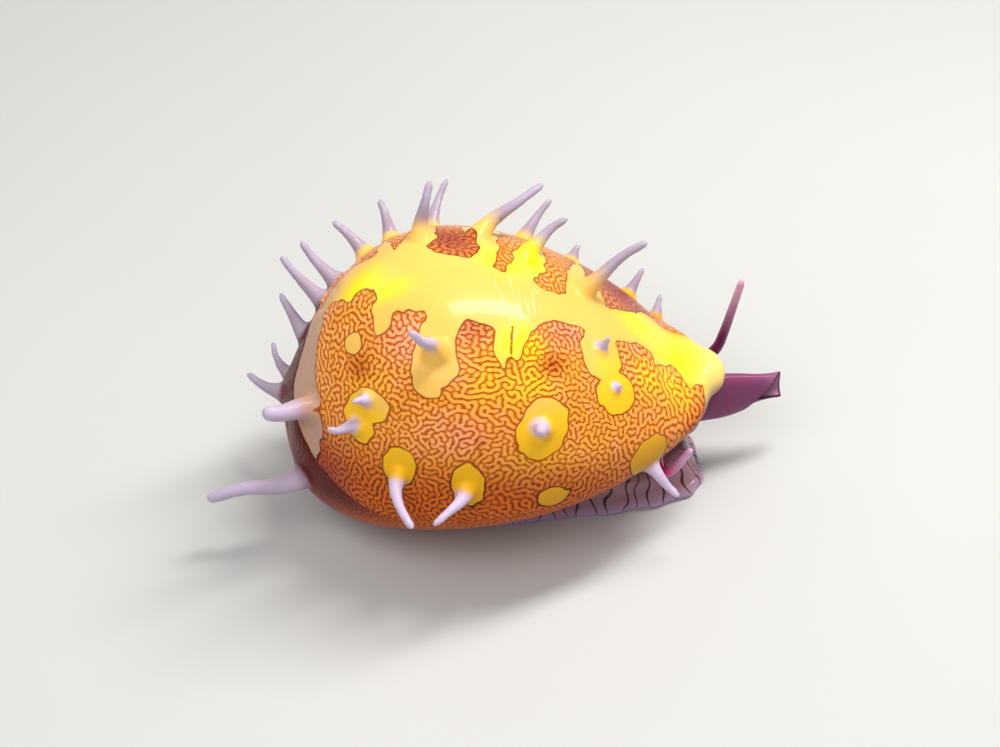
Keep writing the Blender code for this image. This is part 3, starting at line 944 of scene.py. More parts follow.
@dataclass(frozen=True)
class WetFlesh:
    """What all the flesh has in common: how wet it is and how far light goes in."""

    roughness: float = 0.36
    wetness: float = 0.35
    depth: float = 0.18
    glow: float = 0.3
    reach: Colour = (1.0, 0.5, 0.35)
    refraction: float = 1.3
    gloss: float = 0.25
    film_roughness: float = 0.09
    film_refraction: float = 1.36

    def shader(
        self, nodes: Nodes, colour: object, height: object, relief: float, dull: object = None
    ) -> None:
        """Adds the wet surface.

        Args:
            nodes: The material's nodes.
            colour: Socket of the colour.
            height: Socket of the surface's height, 0 to 1.
            relief: What a height of 1 stands for, in millimetres.
            dull: Socket of the share of the wetness that is missing, where it varies.
        """
        bump = nodes.add("Bump", {"Height": height, "Distance": relief * MM, "Strength": 1.0})
        film = self.wetness
        if dull is not None:
            film = nodes.times(nodes.math("SUBTRACT", 1.0, dull), self.wetness)
        nodes.surface(
            {
                "Base Color": colour,
                "Roughness": self.roughness,
                "IOR": self.refraction,
                "Specular IOR Level": self.gloss,
                "Subsurface Weight": self.glow,
                "Subsurface Radius": self.reach,
                "Subsurface Scale": self.depth * MM,
                "Coat Weight": film,
                "Coat Roughness": self.film_roughness,
                "Coat IOR": self.film_refraction,
                "Normal": bump.outputs[0],
            }
        )


def blank_material(name: str) -> tuple[bpy.types.Material, Nodes]:
    """A new material with only its output node."""
    material = bpy.data.materials.new(name)
    material.use_nodes = True
    material.node_tree.nodes.clear()
    material.node_tree.nodes.new("ShaderNodeOutputMaterial").name = "Material Output"
    return material, Nodes(material.node_tree)


@dataclass(frozen=True)
class MantleFinish:
    """The mantle's colours: a pale back, yellow patches and orange ridges parted by dark lines."""

    wet: WetFlesh = WetFlesh(glow=0.2, depth=0.12)
    cream: Colour = (0.85, 0.5, 0.11)
    gold: Colour = (0.9, 0.77, 0.001)
    # Colour of the painted highlight streaks on the band.
    gloss: Colour = (0.95, 0.86, 0.45)
    pale_yellow: Colour = (0.9, 0.52, 0.02)
    yellow: Colour = (0.82, 0.42, 0.006)
    ochre: Colour = (0.5, 0.22, 0.008)
    lilac: Colour = (0.42, 0.25, 0.23)
    knob: Colour = (0.84, 0.64, 0.18)
    orange: Colour = (0.82, 0.24, 0.008)
    # pale_orange, pale_rose, pale_ember and pale_wine are the ridge colours under the painted crest
    # highlight.
    pale_orange: Colour = (0.93, 0.42, 0.075)
    rose: Colour = (0.8, 0.19, 0.1)
    pale_rose: Colour = (0.95, 0.44, 0.28)
    ember: Colour = (0.44, 0.05, 0.001)
    pale_ember: Colour = (0.62, 0.13, 0.006)
    sun: Colour = (0.95, 0.6, 0.004)
    wine: Colour = (0.21, 0.01, 0.022)
    pale_wine: Colour = (0.34, 0.045, 0.06)
    line: Colour = (0.4, 0.09, 0.005)
    line_edge: Colour = (0.68, 0.19, 0.007)
    rose_line: Colour = (0.45, 0.08, 0.03)
    # Colour of the lines in dark regions, and of the painted shade on the far lobe.
    dark_line_and_shade: Colour = (0.08, 0.006, 0.003)
    # papilla is the darker colour of papillae off the near side, their own greyer tone with painted shade;
    # papilla_low is that of the near side.
    papilla: Colour = (0.36, 0.28, 0.36)
    papilla_low: Colour = (0.58, 0.46, 0.62)
    papilla_tip: Colour = (0.46, 0.4, 0.54)

    inside: Pair = (-0.004, 0.012)
    border: Pair = (0.03, 0.01)
    painted_crest_highlight: Pair = (-0.4, 0.7)
    ridge_edge: Pair = (-0.05, -0.6)
    line_core: Pair = (-0.5, -0.95)
    groove: Pair = (0.3, -0.8)
    crease: Pair = (0.052, 0.02)
    fleck: Pair = (0.45, 0.65)
    comb_scale: float = 11000.0
    comb_stretch: Triple = (1.0, 0.09, 0.09)
    comb_zone: Pair = (-0.1, -0.3)
    comb_height: Pair = (0.0068, 0.0076)
    comb_ahead: Pair = (-0.0014, -0.0004)
    comb_painted_highlight: Pair = (0.52, 0.75)
    papilla_side_painted_shade: Pair = (-0.0026, -0.0004)
    relief: float = 0.026

    def material(self) -> bpy.types.Material:
        """Builds the mantle's material."""
        material, nodes = blank_material("mantle_flesh")
        grain = nodes.add("Group", node_tree=flesh_grain()).outputs
        place = nodes.add("TexCoord").outputs["Object"]
        across, along, _ = nodes.three("tile")
        maze = nodes.cubic([nodes.cubic(nodes.four(f"maze_{row}"), across) for row in range(4)], along)
        zone = nodes.value("zone")
        tints = nodes.three("tint")
        gold, wine, lilac = nodes.three("pale")
        crease, far, knob = nodes.three("extra")
        low, finger, cover = nodes.three("places")
        dark = nodes.math("MAXIMUM", tints[1], wine)
        inside = nodes.step(zone, *self.inside)
        border = nodes.step(nodes.math("ABSOLUTE", zone), *self.border)
        comb_and_painted_highlight = self.comb_and_painted_highlight(nodes, place, zone)
        ground = self.ground(nodes, low, gold, lilac)
        ground = nodes.mix(nodes.times(grain["Mottle"], 0.12), ground, self.yellow)
        ground = nodes.mix(knob, ground, self.knob)
        # Painted highlight: pale streaks on the band where the comb is strongest.
        ground = nodes.mix(nodes.times(nodes.step(comb_and_painted_highlight, *self.comb_painted_highlight), 0.55), ground, self.gloss)
        line = self.line_colour(nodes, tints, dark)
        ridge = self.ridge(nodes, maze, grain["Mottle"], tints, wine)
        edge = nodes.mix(dark, self.line_edge, self.line)
        ridge = nodes.mix(nodes.step(maze, *self.ridge_edge), ridge, edge)
        skin = nodes.mix(inside, ground, nodes.mix(nodes.step(maze, *self.line_core), ridge, line))
        skin = nodes.mix(border, skin, line)
        skin = nodes.mix(nodes.step(crease, *self.crease), skin, self.line)
        # Painted shade: the far lobe behind the fold is darkened toward near black.
        skin = nodes.mix(nodes.times(far, 0.85), skin, self.dark_line_and_shade)
        # Papillae off the near side take the darker colour: their own greyer tone with painted shade.
        aside = nodes.add("SeparateXYZ", {0: place}).outputs[1]
        horn = nodes.mix(nodes.step(aside, *self.papilla_side_painted_shade), self.papilla_low, self.papilla)
        horn = nodes.mix(nodes.times(finger, 0.6), horn, self.papilla_tip)
        skin = nodes.mix(cover, skin, horn)
        groove = nodes.math("MAXIMUM", nodes.times(nodes.step(maze, *self.groove), inside), border)
        groove = nodes.times(groove, nodes.math("SUBTRACT", 1.0, cover))
        fine = nodes.math("ADD", nodes.times(grain["Height"], 0.35), nodes.times(comb_and_painted_highlight, 0.35))
        height = nodes.math("SUBTRACT", fine, groove)
        self.wet.shader(nodes, skin, height, self.relief, nodes.times(dark, 0.85))
        return material

    def comb_and_painted_highlight(self, nodes: Nodes, place: object, zone: object) -> Socket:
        """The comb of fine ridges across the top of the pale band, raised in the bump and painted as pale
        highlight streaks.

        Args:
            nodes: The material's nodes.
            place: Socket of the Object coordinates.
            zone: Socket of the distance inside the maze.

        Returns:
            How strong the comb is at each place, 0 to 1; where it is strongest, a highlight is painted.
        """
        combed = nodes.add("VectorMath", {0: place, 1: self.comb_stretch}, operation="MULTIPLY").outputs[0]
        fore, _, level = nodes.add("SeparateXYZ", {0: place}).outputs
        return nodes.times(
            nodes.noise(self.comb_scale, 1.0, combed),
            nodes.step(zone, *self.comb_zone),
            nodes.step(level, *self.comb_height),
            nodes.step(fore, *self.comb_ahead),
        )

    def ground(self, nodes: Nodes, low: object, gold: object, lilac: object) -> Socket:
        """The plain skin of the band and the patches, deeper in colour further down.

        Args:
            nodes: The material's nodes.
            low: Socket of how far down the side a place lies.
            gold: Socket of the gold stains.
            lilac: Socket of the lilac stains.

        Returns:
            The colour.
        """
        stops = ((0.0, self.cream), (0.12, self.pale_yellow), (0.4, self.yellow), (1.0, self.ochre))
        back = nodes.mix(gold, self.cream, self.gold)
        plain = nodes.mix(nodes.step(low, 0.0, 0.1), back, nodes.ramp(low, stops))
        return nodes.mix(lilac, plain, self.lilac)

    def ridge(
        self, nodes: Nodes, maze: object, mottle: object, tints: tuple[object, ...], wine: object
    ) -> Socket:
        """Colour of the ridges, made paler along their crests by a painted highlight.

        Args:
            nodes: The material's nodes.
            maze: Socket of the maze's level.
            mottle: Socket of the grain's mottle.
            tints: Sockets of the rose, ember and sun stains.
            wine: Socket of the wine stains.

        Returns:
            The colour.
        """
        rose, ember, sun = tints
        # Painted highlight: the pale colours are mixed in along each ridge's crest.
        painted_crest_highlight = nodes.step(maze, *self.painted_crest_highlight)
        rosy = nodes.mix(painted_crest_highlight, self.rose, self.pale_rose)
        ridge = nodes.mix(rose, nodes.mix(painted_crest_highlight, self.orange, self.pale_orange), rosy)
        ridge = nodes.mix(nodes.times(nodes.step(nodes.noise(1900.0), *self.fleck), 0.35), ridge, rosy)
        ridge = nodes.mix(nodes.times(mottle, 0.35), ridge, self.orange)
        ridge = nodes.mix(sun, ridge, self.sun)
        ridge = nodes.mix(ember, ridge, nodes.mix(painted_crest_highlight, self.ember, self.pale_ember))
        return nodes.mix(wine, ridge, nodes.mix(painted_crest_highlight, self.wine, self.pale_wine))

    def line_colour(self, nodes: Nodes, tints: tuple[object, ...], dark: object) -> Socket:
        """Colour of the lines between the ridges.

        Args:
            nodes: The material's nodes.
            tints: Sockets of the rose, ember and sun stains.
            dark: Socket of how far the skin is darkened.

        Returns:
            The colour.
        """
        rose, _, sun = tints
        line = nodes.mix(rose, self.line, self.rose_line)
        line = nodes.mix(nodes.times(sun, 0.7), line, self.line_edge)
        return nodes.mix(dark, line, self.dark_line_and_shade)


@dataclass
class MantleSkin:
    """The mantle with all its papillae as one skin."""

    form: MantleForm = field(default_factory=MantleForm)
    finish: MantleFinish = field(default_factory=MantleFinish)
    maze: Maze = field(default_factory=Maze)
    voxel: float = 0.0695
    softening: int = 5
    egg_sides: int = 160
    egg_rings: int = 120
    papilla_steps: int = 8
    papilla_sides: int = 14
    papilla_profile: tuple[Pair, ...] = (
        (-0.3, 0.42),
        (0.0, 0.34),
        (0.1, 0.255),
        (0.25, 0.2),
        (0.5, 0.152),
        (0.75, 0.122),
        (0.88, 0.118),
        (0.96, 0.122),
        (1.0, 0.08),
    )
    tip_rounding: Pair = (0.08, 0.1)
    tip_narrowing: Pair = (0.85, 0.45)
    finger_steps: int = 6
    finger_reach: Pair = (1.3, 0.7)
    finger_radius: float = 0.45
    root_radius: float = 0.3
    root_cover: Pair = (0.1, -0.06)
    slow_cover: Pair = (0.1, 0.5)
    quick_cover: Pair = (0.04, 0.24)
    cover_radius: float = 0.4
    cover_edge: Pair = (0.0, -0.12)
    corner_cut: float = 0.22
    outline_waves: tuple[tuple[float, float, int], ...] = ((0.035, 0.9, 3), (0.03, 0.38, 4))
    spot_depth: float = 1.5
    stain_reach: float = 1.6
    plain_front: float = 5.1
    plain_front_lean: float = 0.3
    plain_front_height: Pair = (2.9, 4.1)
    fold_points: int = 9
    lip: Triple = (0.06, -0.1, 0.14)
    gutter: Triple = (-0.09, 0.0, 0.22)
    low_height: Pair = (6.8, 2.0)
    off_back: Pair = (0.8, 1.7)
    ember_and_painted_shade_height: Pair = (5.7, 3.7)
    ember_and_painted_shade_slant: float = 0.25
    margin_ahead: Pair = (4.2, 4.8)
    margin_height: Pair = (4.0, 3.5)
    rear_ahead: Pair = (-4.3, -5.7)
    rear_height: Pair = (5.0, 3.4)
    far_lobe_start: Pair = (0.0, 0.1)
    far_lobe_end: Pair = (2.6, 1.0)
    knob_ahead: Pair = (5.1, 6.0)
    knob_height: Pair = (3.1, 3.8)
    knob_foot: float = 3.25
    knob_foot_lean: float = 0.8
    knob_foot_aside: Pair = (0.3, 0.8)
    below_knob_ahead: Pair = (4.55, 4.95)
    below_knob_drop: Pair = (0.0, -0.4)
    aft_bearing: Pair = (132.0, 148.0)
    aft_edge: Pair = (-0.1, 0.0)
    ridge_spread: float = 0.285
    ridge_widening: tuple[tuple[float, int, float, float], ...] = (
        (0.08, 2, 1.2, 3.4),
        (0.085, 2, 5.4, 7.0),
        (0.34, 0, 1.5, 4.5),
        (0.06, 0, -3.0, -4.5),
    )
    line_lean: float = -0.15
    top_line_lean: float = -0.2
    top_line_height: Pair = (6.2, 7.4)

    def build(self) -> Piece:
        """Models, paints and dresses the mantle.

        Returns:
            The finished skin.
        """
        pieces = [self.egg()]
        for number, papilla in enumerate(LEFT_PAPILLAE + RIGHT_PAPILLAE):
            pieces.append(self.horn(number, papilla))
        skin = weld(pieces, "mantle_skin", self.voxel, self.softening)
        self.fold(skin.data)
        self.paint(skin.data)
        return dress(skin, self.finish.material())

    def egg(self) -> Piece:
        """A sphere with its poles at the two ends, drawn out to the mantle's surface."""
        bpy.ops.mesh.primitive_uv_sphere_add(segments=self.egg_sides, ring_count=self.egg_rings, radius=1)
        egg = added("mantle_egg")
        unit = read_points(egg.data)
        share = np.clip((1 + unit[:, 2]) / 2, 0, 1)
        write_points(egg.data, self.form.points(share, np.arctan2(unit[:, 0], unit[:, 1])))
        edit_all(egg)
        close_edit()
        return egg

    def horn(self, number: int, papilla: Papilla) -> Piece:
        """Draws one papilla out of the mantle.

        Args:
            number: Its number, for its name.
            papilla: Its place and form.

        Returns:
            The papilla, a closed mesh.
        """
        line, _ = papilla.line(self.form, self.papilla_steps)
        shares, radii = zip(*self.papilla_profile)
        widths = [radii[0] * papilla.stout]
        for step in range(self.papilla_steps + 1):
            share = step / self.papilla_steps
            width = float(np.interp(share, shares, radii)) * papilla.stout
            widths.append(width * (1 + papilla.blunt * share))
        ending = (line[-1] - line[-2]).normalized()
        line[-1] = line[-1] - ending * self.tip_rounding[0]
        widths[-1] = widths[-2] * self.tip_narrowing[0]
        line.append(line[-1] + ending * self.tip_rounding[1])
        widths.append(widths[-2] * self.tip_narrowing[1])
        return draw_finger(f"papilla_{number}", line, widths, self.papilla_sides)

    def fingers(self, places: Array) -> tuple[Array, Array, Array]:
        """Where the papillae are.

        Those on the pale band take on their own colour slowly, the others at the root.

        Args:
            places: Points on the skin.

        Returns:
            For each, the share of the way out on a papilla, how far the papilla's own colour covers the
            skin's, and the distance clear of the roots that stand in the maze, in millimetres.
        """
        out = np.zeros(len(places))
        cover = np.zeros(len(places))
        clear = np.full(len(places), 1.0)
        for papilla in LEFT_PAPILLAE + RIGHT_PAPILLAE:
            line, root = papilla.line(self.form, self.finger_steps)
            root = np.array(root)
            reach = papilla.length * self.finger_reach[0] + self.finger_reach[1]
            near = np.flatnonzero(np.linalg.norm(places - root, axis=1) < reach)
            best, stretch, along = nearest_on(np.array(line[1:]), places[near])
            share = (stretch + along) / self.finger_steps
            beyond = best - self.root_radius * papilla.stout
            on_it = np.where(best < self.finger_radius * papilla.stout, share, 0)
            out[near] = np.maximum(out[near], on_it)
            if self.plain(root[None, :])[0] < 0.1:
                own = rise(beyond, *self.root_cover)
                clear[near] = np.minimum(clear[near], beyond)
            else:
                pace = self.slow_cover if self.band(root[None, :])[0] > 0 else self.quick_cover
                own = rise(share, *pace) * rise(best - self.cover_radius * papilla.stout, *self.cover_edge)
            cover[near] = np.maximum(cover[near], own)
        return out, cover, clear

    def plain(self, places: Array) -> Array:
        """Where the skin is plain, without the maze.

        Args:
            places: Points on the skin.

        Returns:
            Signed distance of each inside the band, a patch or the front, in millimetres.
        """
        inside = self.band(places)
        for patch in PATCHES:
            ratio = self.spot(places, patch)
            inside = np.maximum(inside, (1 - ratio) * min(patch.along, patch.around))
        lean = self.plain_front_lean * rise(places[:, 2], *self.plain_front_height)
        front = places[:, 0] - self.plain_front - lean
        return np.maximum(inside, front)

    def spot(self, places: Array, mark: Patch | Stain) -> Array:
        """Distance from a mark's middle in units of its two half sizes.

        Args:
            places: Points on the skin.
            mark: What is laid round that middle.

        Returns:
            The distance of each place, or a far one where the skin there isn't the mark's.
        """
        far_off = 9.0
        here, outward, forward, down = map(np.array, self.form.axes(mark.share, math.radians(mark.turn)))
        away = places - here
        ratio = np.hypot(away @ forward / mark.along, away @ down / mark.around)
        return np.where(np.abs(away @ outward) < self.spot_depth, ratio, far_off)

    def unrolled(self, bearings: Array, aside: Array) -> Array:
        """Places by bearing and distance to the left, as millimetres over the back and to the left."""
        known, lengths = self.form.back_line()
        return np.stack([np.interp(bearings, known, lengths), aside], axis=1)

    def band(self, places: Array) -> Array:
        """Where the pale band along the back is.

        Args:
            places: Points on the skin.

        Returns:
            Signed distance of each inside the band, in millimetres.
        """
        ring = self.unrolled(*np.array(BAND_RIGHT + BAND_LEFT[::-1]).T)
        following = np.roll(ring, -1, axis=0)
        cut, rest = self.corner_cut, 1 - self.corner_cut
        ring = np.stack([rest * ring + cut * following, cut * ring + rest * following], axis=1).reshape(-1, 2)
        ring = np.concatenate([ring, ring[:1]])
        spot = self.unrolled(self.form.bearing(places), places[:, 1])
        nearest = nearest_on(ring, spot)[0]
        inside = np.zeros(len(spot), bool)
        for start, end in zip(ring, ring[1:]):
            run = end - start
            spans = (start[1] > spot[:, 1]) != (end[1] > spot[:, 1])
            climb = run[1] if run[1] else 1e-9
            inside ^= spans & (spot[:, 0] < start[0] + run[0] * (spot[:, 1] - start[1]) / climb)
        return np.where(inside, nearest, -nearest)

    def fold(self, mesh: Mesh) -> None:
        """Raises the edge of the near lobe behind, where it lies over the far lobe."""
        places = read_points(mesh)
        past = self.past_fold(places)
        lip, gutter = (lift * bell(past, middle, width) for lift, middle, width in (self.lip, self.gutter))
        lip = np.where(past < 0, lip, gutter)
        write_points(mesh, places + read_normals(mesh) * lip[:, None])

    def past_fold(self, places: Array) -> Array:
        """Where the far lobe starts behind the near one.

        Args:
            places: Points on the skin.

        Returns:
            Distance of each past the near lobe's rear edge, in millimetres, negative on the near lobe.
        """
        edge = self.unrolled(*np.array(BAND_LEFT[-self.fold_points :]).T)
        spot = self.unrolled(self.form.bearing(places), places[:, 1])
        nearest, stretch, _ = nearest_on(edge, spot)
        run = np.diff(edge, axis=0)[stretch]
        away = spot - edge[stretch]
        return nearest * np.sign(run[:, 0] * away[:, 1] - run[:, 1] * away[:, 0])

    def paint(self, mesh: Mesh) -> None:
        """Stores where each colour lies on the skin, and the maze of ridges.

        Args:
            mesh: The mantle's mesh.
        """
        places = read_points(mesh)
        x, y, height = places.T
        finger, cover, clear = self.fingers(places)
        wave = sum(size * ripple(places, length, seed) for size, length, seed in self.outline_waves)
        zone = np.minimum(-(self.plain(places) + wave), 1.5 * clear)
        line = [self.form.points(share, math.radians(turn)) for share, turn in CREASE]
        crease = np.minimum(nearest_on(np.array(line), places)[0], 1.0)
        past = self.past_fold(places)
        far_lobe = rise(past, *self.far_lobe_start) * rise(past, *self.far_lobe_end)
        low = rise(height, *self.low_height) * rise(np.abs(y), *self.off_back)
        knob = rise(x, *self.knob_ahead) * rise(height, *self.knob_height)
        self.ridges(mesh, places, zone)
        store(mesh, "zone", zone)
        for name, layer in self.stains(places, far_lobe).items():
            store(mesh, name, layer)
        store(mesh, "places", np.stack([low, finger, cover], axis=1))
        store(mesh, "extra", np.stack([crease, far_lobe, knob], axis=1))

    def ridges(self, mesh: Mesh, places: Array, zone: Array) -> None:
        """Grows the maze, coarser ahead and higher up, and stores its cubics and each face's corners.

        Args:
            mesh: The mantle's mesh.
            places: Its points.
            zone: Signed distance of each inside the maze's outline.
        """
        spread = self.ridge_spread
        for amount, axis, start, end in self.ridge_widening:
            spread = spread + amount * rise(places[:, axis], start, end)
        lean = self.line_lean + self.top_line_lean * rise(places[:, 2], *self.top_line_height)
        maze = self.maze.grow(mesh, zone, spread, lean)
        for row in range(4):
            store(mesh, f"maze_{row}", maze[:, row], "FACE")
        around = [(0, 0, 0), (1, 0, 0), (1, 1, 0), (0, 1, 0)]
        store(mesh, "tile", np.tile(around, (len(mesh.polygons), 1)), "CORNER")

    def stains(self, places: Array, far_lobe: Array) -> dict[str, Array]:
        """How far each stain and each deeper region colours the skin. The deeper regions low on the flank and
        at the rear carry the flesh's own deeper red with painted shade.

        Args:
            places: Points on the skin.
            far_lobe: How far each lies on the lobe behind the fold.

        Returns:
            The layers named in Hue, each with one row of three for each place.
        """
        x, y, height = places.T
        layers = {"tint": np.zeros((len(places), 3)), "pale": np.zeros((len(places), 3))}
        for stain in STAINS:
            amount = stain.strength * (1 - rise(self.spot(places, stain), 0, self.stain_reach))
            layer, column = stain.hue.value
            layers[layer][:, column] = np.maximum(layers[layer][:, column], amount)
        # Painted shade with the flesh's own deeper red: the lower flank darkens, starting lower toward the
        # front.
        deep_red_and_painted_shade = rise(height + self.ember_and_painted_shade_slant * (x + 1).clip(0, 6), *self.ember_and_painted_shade_height)
        margin = 0.5 * rise(x, *self.margin_ahead) * rise(height, *self.margin_height)
        # Painted shade with the far lobe's own wine: the low rear darkens and loses its yellow.
        rear = rise(x, *self.rear_ahead) * rise(height, *self.rear_height)
        knob_foot = self.knob_foot + self.knob_foot_lean * np.clip(-y, *self.knob_foot_aside)
        below_knob = rise(x, *self.below_knob_ahead) * rise(height - knob_foot, *self.below_knob_drop)
        aft = rise(self.form.bearing(places), *self.aft_bearing) * rise(self.band(places), *self.aft_edge)
        tint, pale = layers.values()
        tint[:, 1] = np.clip(tint[:, 1] + deep_red_and_painted_shade + margin, 0, 1)
        tint[:, 2] = tint[:, 2] * (1 - rear)
        pale[:, 1] = np.maximum.reduce([pale[:, 1], far_lobe, 0.8 * rear])
        pale[:, 2] = np.maximum.reduce([pale[:, 2], 0.8 * below_knob, 0.85 * aft])
        return layers


@dataclass(frozen=True)
class BodyFinish:
    """Translucent mauve flesh with thin dark stripes, and magenta tentacles with pale tips."""

    wet: WetFlesh = WetFlesh(roughness=0.3, wetness=0.8, depth=0.35, glow=0.5)
    side: Colour = (0.3, 0.14, 0.14)
    margin: Colour = (0.4, 0.27, 0.45)
    sole: Colour = (0.5, 0.38, 0.46)
    head: Colour = (0.32, 0.06, 0.14)
    stripe: Colour = (0.035, 0.004, 0.012)
    magenta: Colour = (0.58, 0.012, 0.22)
    plum: Colour = (0.16, 0.015, 0.08)
    tip: Colour = (0.55, 0.32, 0.52)

    def material(self) -> bpy.types.Material:
        """Builds the material of the foot, the head and the tentacles."""
        material, nodes = blank_material("body_flesh")
        grain = nodes.add("Group", node_tree=flesh_grain()).outputs
        low, headward, under = nodes.three("region")
        left, right, swelling = nodes.three("horns")
        lines, shown, height = nodes.three("stripe")
        skin = nodes.mix(low, self.side, self.margin)
        skin = nodes.mix(under, skin, self.sole)
        skin = nodes.mix(headward, skin, self.head)
        skin = nodes.mix(nodes.times(grain["Mottle"], 0.3), skin, self.margin)
        skin = nodes.mix(swelling, skin, self.plum)
        far_stops = ((0.0, self.head), (0.2, self.plum), (0.6, self.plum), (0.95, self.tip))
        near_stops = ((0.0, self.head), (0.3, self.magenta), (0.62, self.magenta), (0.9, self.tip))
        far_horn = nodes.ramp(left, far_stops)
        near_horn = nodes.ramp(right, near_stops)
        skin = nodes.mix(nodes.step(left, 0.0, 0.1), skin, far_horn)
        skin = nodes.mix(nodes.step(right, 0.0, 0.1), skin, near_horn)
        beside = nodes.math("FRACT", nodes.math("ADD", lines, 0.5))
        beside = nodes.math("ABSOLUTE", nodes.math("SUBTRACT", beside, 0.5))
        width = nodes.times(nodes.step(height, -0.2, 0.5), 0.1)
        stripe = nodes.times(nodes.step(nodes.math("SUBTRACT", beside, width), 0.0, -0.035), shown)
        skin = nodes.mix(stripe, skin, self.stripe)
        self.wet.shader(nodes, skin, grain["Height"], 0.012)
        return material


@dataclass
class BodySkin:
    """Foot, neck, snout and tentacles as one skin."""

    finish: BodyFinish = field(default_factory=BodyFinish)
    voxel: float = 0.05
    softening: int = 6
    foot_middle: float = 0.1
    foot_half_length: float = 5.5
    foot_half_width: float = 1.95
    foot_height: float = 1.05
    tail_narrowing: float = 0.42
    front_squareness: float = 4.2
    tail_squareness: float = 2.6
    foot_levels: tuple[Pair, ...] = (
        (0.0, 0.97),
        (0.07, 1.01),
        (0.16, 1.0),
        (0.32, 0.95),
        (0.5, 0.88),
        (0.85, 0.82),
        (1.0, 0.74),
    )
    foot_sides: int = 160
    neck: Vector = Vector((3.9, 0.0, 1.7))
    neck_radii: Triple = (1.4, 1.1, 0.8)
    snout: Vector = Vector((4.95, 0.0, 1.68))
    snout_radii: Triple = (0.62, 0.58, 0.46)
    mouth_drop: float = 0.14
    swelling: Vector = Vector((4.15, 0.88, 1.78))
    swelling_radii: Triple = (0.44, 0.42, 0.4)
    left_route: tuple[Triple, ...] = (
        (4.15, 0.88, 1.78),
        (4.8, 1.45, 1.88),
        (5.5, 1.82, 1.95),
        (6.1, 1.94, 2.12),
        (6.48, 1.97, 2.5),
        (6.67, 1.98, 3.1),
        (6.8, 1.97, 3.7),
        (6.93, 1.94, 4.35),
        (7.04, 1.9, 4.95),
    )
    right_route: tuple[Triple, ...] = (
        (4.15, -0.88, 1.78),
        (3.98, -1.5, 1.78),
        (3.95, -2.0, 1.74),
        (4.08, -2.28, 1.82),
        (4.38, -2.34, 2.1),
        (4.75, -2.26, 2.56),
    )
    tentacle_root: float = 0.25
    tentacle_tip: float = 0.115
    tentacle_sides: int = 16
    stripe_gaps: Pair = (0.27, 0.55)
    stripe_seed: int = 5
    outline_points: int = 721
    outline_thinning: int = 3
    stripe_reach: Pair = (0.75, 0.55)
    stripe_foot: Pair = (0.05, 0.15)
    stripe_top: Pair = (1.15, 1.05)
    stripe_tail: Pair = (0.3, 0.6)
    mouth: Triple = (0.14, 0.26, 0.055)
    mouth_ahead: Pair = (5.2, 5.4)
    groove: Triple = (0.07, 0.35, 0.07)
    groove_ahead: Pair = (4.6, 5.1)
    neck_creases: Triple = (0.01, 4.35, 0.7)
    neck_height: Pair = (1.1, 1.4)
    margin_height: Pair = (0.42, 0.08)
    sole_height: Pair = (0.035, 0.005)
    head_height: Pair = (0.95, 1.4)
    head_ahead: Pair = (2.6, 3.6)
    plum_reach: Pair = (0.7, 0.2)
    horn_reach: float = 0.4
    horn_start: float = 0.55
    length_taper: float = 0.4
    tentacle_taper: float = 0.7

    def build(self) -> Piece:
        """Models, paints and dresses the body.

        Returns:
            The finished skin.
        """
        pieces = [
            self.foot(),
            ball("neck_lump", self.neck, self.neck_radii),
            ball("snout_lump", self.snout, self.snout_radii),
            ball("swelling_left", self.swelling, self.swelling_radii),
            ball("swelling_right", self.swelling * Vector((1, -1, 1)), self.swelling_radii),
            self.tentacle("horn_left", self.left_route),
            self.tentacle("horn_right", self.right_route),
        ]
        skin = weld(pieces, "body_skin", self.voxel, self.softening)
        self.furrow(skin.data)
        self.paint(skin.data)
        return dress(skin, self.finish.material())

    def foot(self) -> Piece:
        """The foot: a round plate raised level by level, then drawn out to its outline."""
        bpy.ops.mesh.primitive_circle_add(vertices=self.foot_sides, radius=1, fill_type="NGON")
        foot = added("foot_plate")
        edit_all(foot)
        for (below, _), (level, _) in zip(self.foot_levels, self.foot_levels[1:]):
            bpy.ops.mesh.extrude_region_move(TRANSFORM_OT_translate={"value": (0, 0, level - below)})
        close_edit()
        unit = read_points(foot.data)
        angle = np.arctan2(unit[:, 1], unit[:, 0])
        ruffle = 0.05 * bell(unit[:, 2], 0.07, 0.1) * (np.sin(angle * 17 + np.sin(angle * 5)) - 0.3)
        plan = self.outline(angle, np.interp(unit[:, 2], *zip(*self.foot_levels)), ruffle)
        write_points(foot.data, np.column_stack([plan, unit[:, 2] * self.foot_height]))
        return foot

    def outline(self, angle: Array, shares: Array, ruffle: Array | float = 0.0) -> Array:
        """Outline of the foot seen from above.

        Args:
            angle: Angle round the foot from straight ahead, for each place.
            shares: Share of the foot's full width at each place.
            ruffle: How far the margin waves outward at each, in millimetres.

        Returns:
            One row of x and y for each.
        """
        forth, side = np.cos(angle), np.sin(angle)
        power = 2 / np.where(forth > 0, self.front_squareness, self.tail_squareness)
        ahead = np.sign(forth) * np.abs(forth) ** power
        aside = np.sign(side) * np.abs(side) ** power
        narrow = 1 - self.tail_narrowing * rise(ahead, 0, -1)
        length = self.foot_half_length * (1 - self.length_taper + self.length_taper * shares)
        x = self.foot_middle + ahead * (length + ruffle)
        return np.stack([x, aside * (self.foot_half_width * shares * narrow + ruffle)], axis=1)

